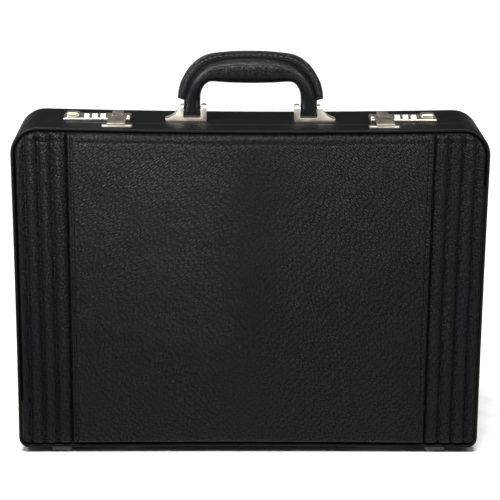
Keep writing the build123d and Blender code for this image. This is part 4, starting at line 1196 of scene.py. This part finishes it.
class ATTACHE_OT_pen_loops(bpy.types.Operator):
    """Two soft leather pen loops on a strip sewn to the lid's lining"""
    bl_idname = "attache.pen_loops"
    bl_label = "Pen Loops"

    def execute(self, context):
        low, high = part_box("lid_pen_loops")
        radius = (high.y - low.y) / 2
        pieces = []
        strip = box_between((low.x, low.y, low.z), (high.x, low.y + 1.0 * MM, high.z))
        apply_modifier(strip, "BEVEL", width=0.45 * MM, segments=3)
        pieces.append(strip)
        for x in PEN_LOOP_MIDDLES:
            deselect()
            bpy.ops.mesh.primitive_cylinder_add(
                vertices=36, radius=radius - 0.3 * MM, depth=high.z - low.z,
                end_fill_type="NOTHING", location=(x, low.y + radius, (low.z + high.z) / 2))
            loop = bpy.context.object
            bpy.ops.object.transform_apply(location=True, rotation=True, scale=True)
            edit(loop)
            pick(loop, "edges", lambda e, c: abs(e.verts[0].co.z - e.verts[1].co.z) > 0.01)
            bpy.ops.mesh.subdivide(number_cuts=10)
            bpy.ops.object.mode_set(mode="OBJECT")
            middle = (low.z + high.z) / 2
            for vertex in loop.data.vertices:
                away = Vector((vertex.co.x - x, vertex.co.y - low.y - radius, 0.0))
                flare = 0.25 * MM * (abs(vertex.co.z - middle) / (high.z - middle)) ** 2
                lump = 0.25 * MM * noise.noise(vertex.co * 160)
                vertex.co -= away.normalized() * (flare + lump)
            apply_modifier(loop, "SOLIDIFY", thickness=0.9 * MM, offset=0)
            apply_modifier(loop, "BEVEL", width=0.25 * MM, segments=2, limit_method="ANGLE")
            pieces.append(loop)
        complete(joined(pieces), "lid_pen_loops_leather", "lid", skiver(),
                 ["lid_pen_loops"], smooth=50)
        return {"FINISHED"}


# ---- finishes of the parts that keep their CAD shape ---------------------------------------
def give(material, *nodes):
    """Gives CAD nodes a finish, in their own material slots."""
    for node in nodes:
        piece = frame["nodes"][node]
        if not piece.material_slots:
            piece.data.materials.append(material)
        for slot in piece.material_slots:
            slot.material = material


class ATTACHE_OT_frame_finishes(bpy.types.Operator):
    """Finishes of the boards, frames, hinges, stays, dials and feet"""
    bl_idname = "attache.frame_finishes"
    bl_label = "Frame Finishes"

    def execute(self, context):
        board = moulded("GreyFibreBoard", "#5a5148", (0.75, 0.9), grain=0.8, bump=0.1)
        give(board, "base_shell", "lid_shell")
        frames = moulded("BlackAnodisedAluminium", "#1b1b1c", (0.28, 0.38), Metallic=0.6)
        give(frames, "base_frame", "lid_frame")
        steel = nickel_plate("ZincPlatedSteel", "#a9a8a4", (0.28, 0.42))
        give(steel, "hinge_base_leaves", "hinge_lid_leaves", "hinge_pins", "hasp_pins",
             "handle_pins", "handle_rivets", "handle_backing_plates", "handle_core",
             "stay_base_rivets", "stay_lid_rivets", "dial_axles")
        for side in SIDES:
            give(steel, f"stay_arm_{side}", f"stay_guide_{side}", f"lock_case_{side}")
        white = moulded("WhiteAcetal", finish().dial, (0.30, 0.42), Specular_IOR_Level=0.5)
        give(white, *[f"dial_{side}_{index}" for side in SIDES for index in (1, 2, 3)])
        nylon = moulded("BlackNylon", "#141415", (0.42, 0.55), bump=0.05)
        give(nylon, "lid_foot_plates", "base_foot_plates")
        stud = nickel_plate("NickelStud", finish().nickel, (0.14, 0.24))
        give(stud, "lid_feet", "base_feet")
        return {"FINISHED"}


# ---- floor, lights and camera ---------------------------------------------------------------
CAMERA_PLACE = (-29.54 * MM, -1672.87 * MM, 697.81 * MM)
CAMERA_TILT = 0.28958
CAMERA_YAW = -0.01805
CAMERA_ROLL = -0.00807
CAMERA_LENS = 126.79
CAMERA_SENSOR = 36
WINDOW_RAYS = (0.06, 0.36, -0.93)
WINDOW_STRENGTH = 4.6
WINDOW_ANGLE = math.radians(24)
KEY_PLACE = Vector((0.5, -0.44, 0.66))
KEY_AIM = Vector((0.07, 0, 0.32))
KEY_SIZE = 0.22
KEY_SPREAD = math.radians(52)
KEY_POWERS = {-1: 1.5, 1: 0.7}
ROOM_COLOUR = (1.0, 0.99, 0.97, 1.0)
ROOM_STRENGTH = (0.10, 0.4)
ROOM_RISE = (0.4, 0.95)


def soft_light(name, place, size, power, aim):
    """A square soft box that looks at a point."""
    light = bpy.data.lights.new(name, "AREA")
    light.size = size
    light.energy = power
    box = bpy.data.objects.new(name, light)
    box.location = place
    box.rotation_euler = (Vector(aim) - Vector(place)).to_track_quat("-Z", "Y").to_euler()
    bpy.context.scene.collection.objects.link(box)
    return box


class ATTACHE_OT_stage(bpy.types.Operator):
    """Pale studio floor, soft light and the camera"""
    bl_idname = "attache.stage"
    bl_label = "Stage"

    def execute(self, context):
        deselect()
        bpy.ops.mesh.primitive_plane_add(size=40, location=(0, 0, 0))
        floor = bpy.context.object
        floor.name = "studio_floor"
        paper = moulded("WhiteStudioPaper", finish().floor, (0.85, 0.95), grain=1.5, bump=0.02,
                        Specular_IOR_Level=0.1)
        floor.data.materials.append(paper)

        sun = bpy.data.lights.new("window", "SUN")
        sun.energy = WINDOW_STRENGTH
        sun.angle = WINDOW_ANGLE
        lamp = bpy.data.objects.new("window", sun)
        lamp.rotation_euler = Vector(WINDOW_RAYS).to_track_quat("-Z", "Y").to_euler()
        context.scene.collection.objects.link(lamp)
        for side, power in KEY_POWERS.items():
            mirror = Vector((side, 1, 1))
            key = soft_light("key", KEY_PLACE * mirror, KEY_SIZE, power, KEY_AIM * mirror)
            key.data.spread = KEY_SPREAD

        world = bpy.data.worlds.new("studio")
        context.scene.world = world
        world.use_nodes = True
        tree = world.node_tree
        view = add_node(tree, "ShaderNodeTexCoord", output="Generated")
        height = add_node(tree, "ShaderNodeSeparateXYZ", output="Z", Vector=view)
        rise = add_node(tree, "ShaderNodeMapRange", SMOOTH, Value=height,
                        From_Min=ROOM_RISE[0], From_Max=ROOM_RISE[1],
                        To_Min=ROOM_STRENGTH[0], To_Max=ROOM_STRENGTH[1])
        backdrop = next(n for n in tree.nodes if n.type == "BACKGROUND")
        wire(tree, backdrop, Color=ROOM_COLOUR, Strength=rise)

        ct, st = math.cos(CAMERA_TILT), math.sin(CAMERA_TILT)
        cy, sy = math.cos(CAMERA_YAW), math.sin(CAMERA_YAW)
        cr, sr = math.cos(CAMERA_ROLL), math.sin(CAMERA_ROLL)
        ahead = Vector((-ct * sy, ct * cy, -st))
        level = Vector((cy, sy, 0))
        upright = Vector((-st * sy, st * cy, ct))
        right = cr * level - sr * upright
        up = sr * level + cr * upright
        lens = bpy.data.cameras.new("camera")
        lens.lens = CAMERA_LENS
        lens.sensor_width = CAMERA_SENSOR
        lens.clip_end = 60
        camera = bpy.data.objects.new("camera", lens)
        turn = Matrix((right, up, -ahead)).transposed()
        camera.matrix_world = Matrix.Translation(CAMERA_PLACE) @ turn.to_4x4()
        context.scene.collection.objects.link(camera)
        context.scene.camera = camera
        context.scene.view_settings.view_transform = "Standard"
        return {"FINISHED"}


# ---- panel, registration and the run ---------------------------------------------------------
OPERATORS = (
    ATTACHE_OT_stage,
    ATTACHE_OT_wall_covers,
    ATTACHE_OT_centre_panels,
    ATTACHE_OT_rib_panels,
    ATTACHE_OT_panel_stitches,
    ATTACHE_OT_grip,
    ATTACHE_OT_welt,
    ATTACHE_OT_fittings,
    ATTACHE_OT_dial_numbers,
    ATTACHE_OT_linings,
    ATTACHE_OT_file_pocket,
    ATTACHE_OT_card_pockets,
    ATTACHE_OT_pen_loops,
    ATTACHE_OT_frame_finishes,
)


class ATTACHE_PT_sidebar(bpy.types.Panel):
    """Sizes and finishes of the attache case, and a button for each piece"""
    bl_idname = "ATTACHE_PT_sidebar"
    bl_label = "Attache Case"
    bl_space_type = "VIEW_3D"
    bl_region_type = "UI"
    bl_category = "Attache"

    def draw(self, context):
        for group in (context.scene.attache_sizes, context.scene.attache_finish):
            for name in group.bl_rna.properties.keys():
                if name not in ("rna_type", "name"):
                    self.layout.prop(group, name)
        for operator in OPERATORS:
            self.layout.operator(operator.bl_idname)


CLASSES = (AttacheSizes, AttacheFinish) + OPERATORS + (ATTACHE_PT_sidebar,)


def register():
    """Registers the classes and hangs both property groups on the scene."""
    for cls in CLASSES:
        bpy.utils.register_class(cls)
    bpy.types.Scene.attache_sizes = bpy.props.PointerProperty(type=AttacheSizes)
    bpy.types.Scene.attache_finish = bpy.props.PointerProperty(type=AttacheFinish)


def unregister():
    """Takes the add-on away again."""
    del bpy.types.Scene.attache_finish
    del bpy.types.Scene.attache_sizes
    for cls in reversed(CLASSES):
        bpy.utils.unregister_class(cls)


def main():
    """Builds everything."""
    register()
    for operator in OPERATORS:
        group, name = operator.bl_idname.split(".")
        getattr(getattr(bpy.ops, group), name)()


if __name__ == "__main__":
    main()
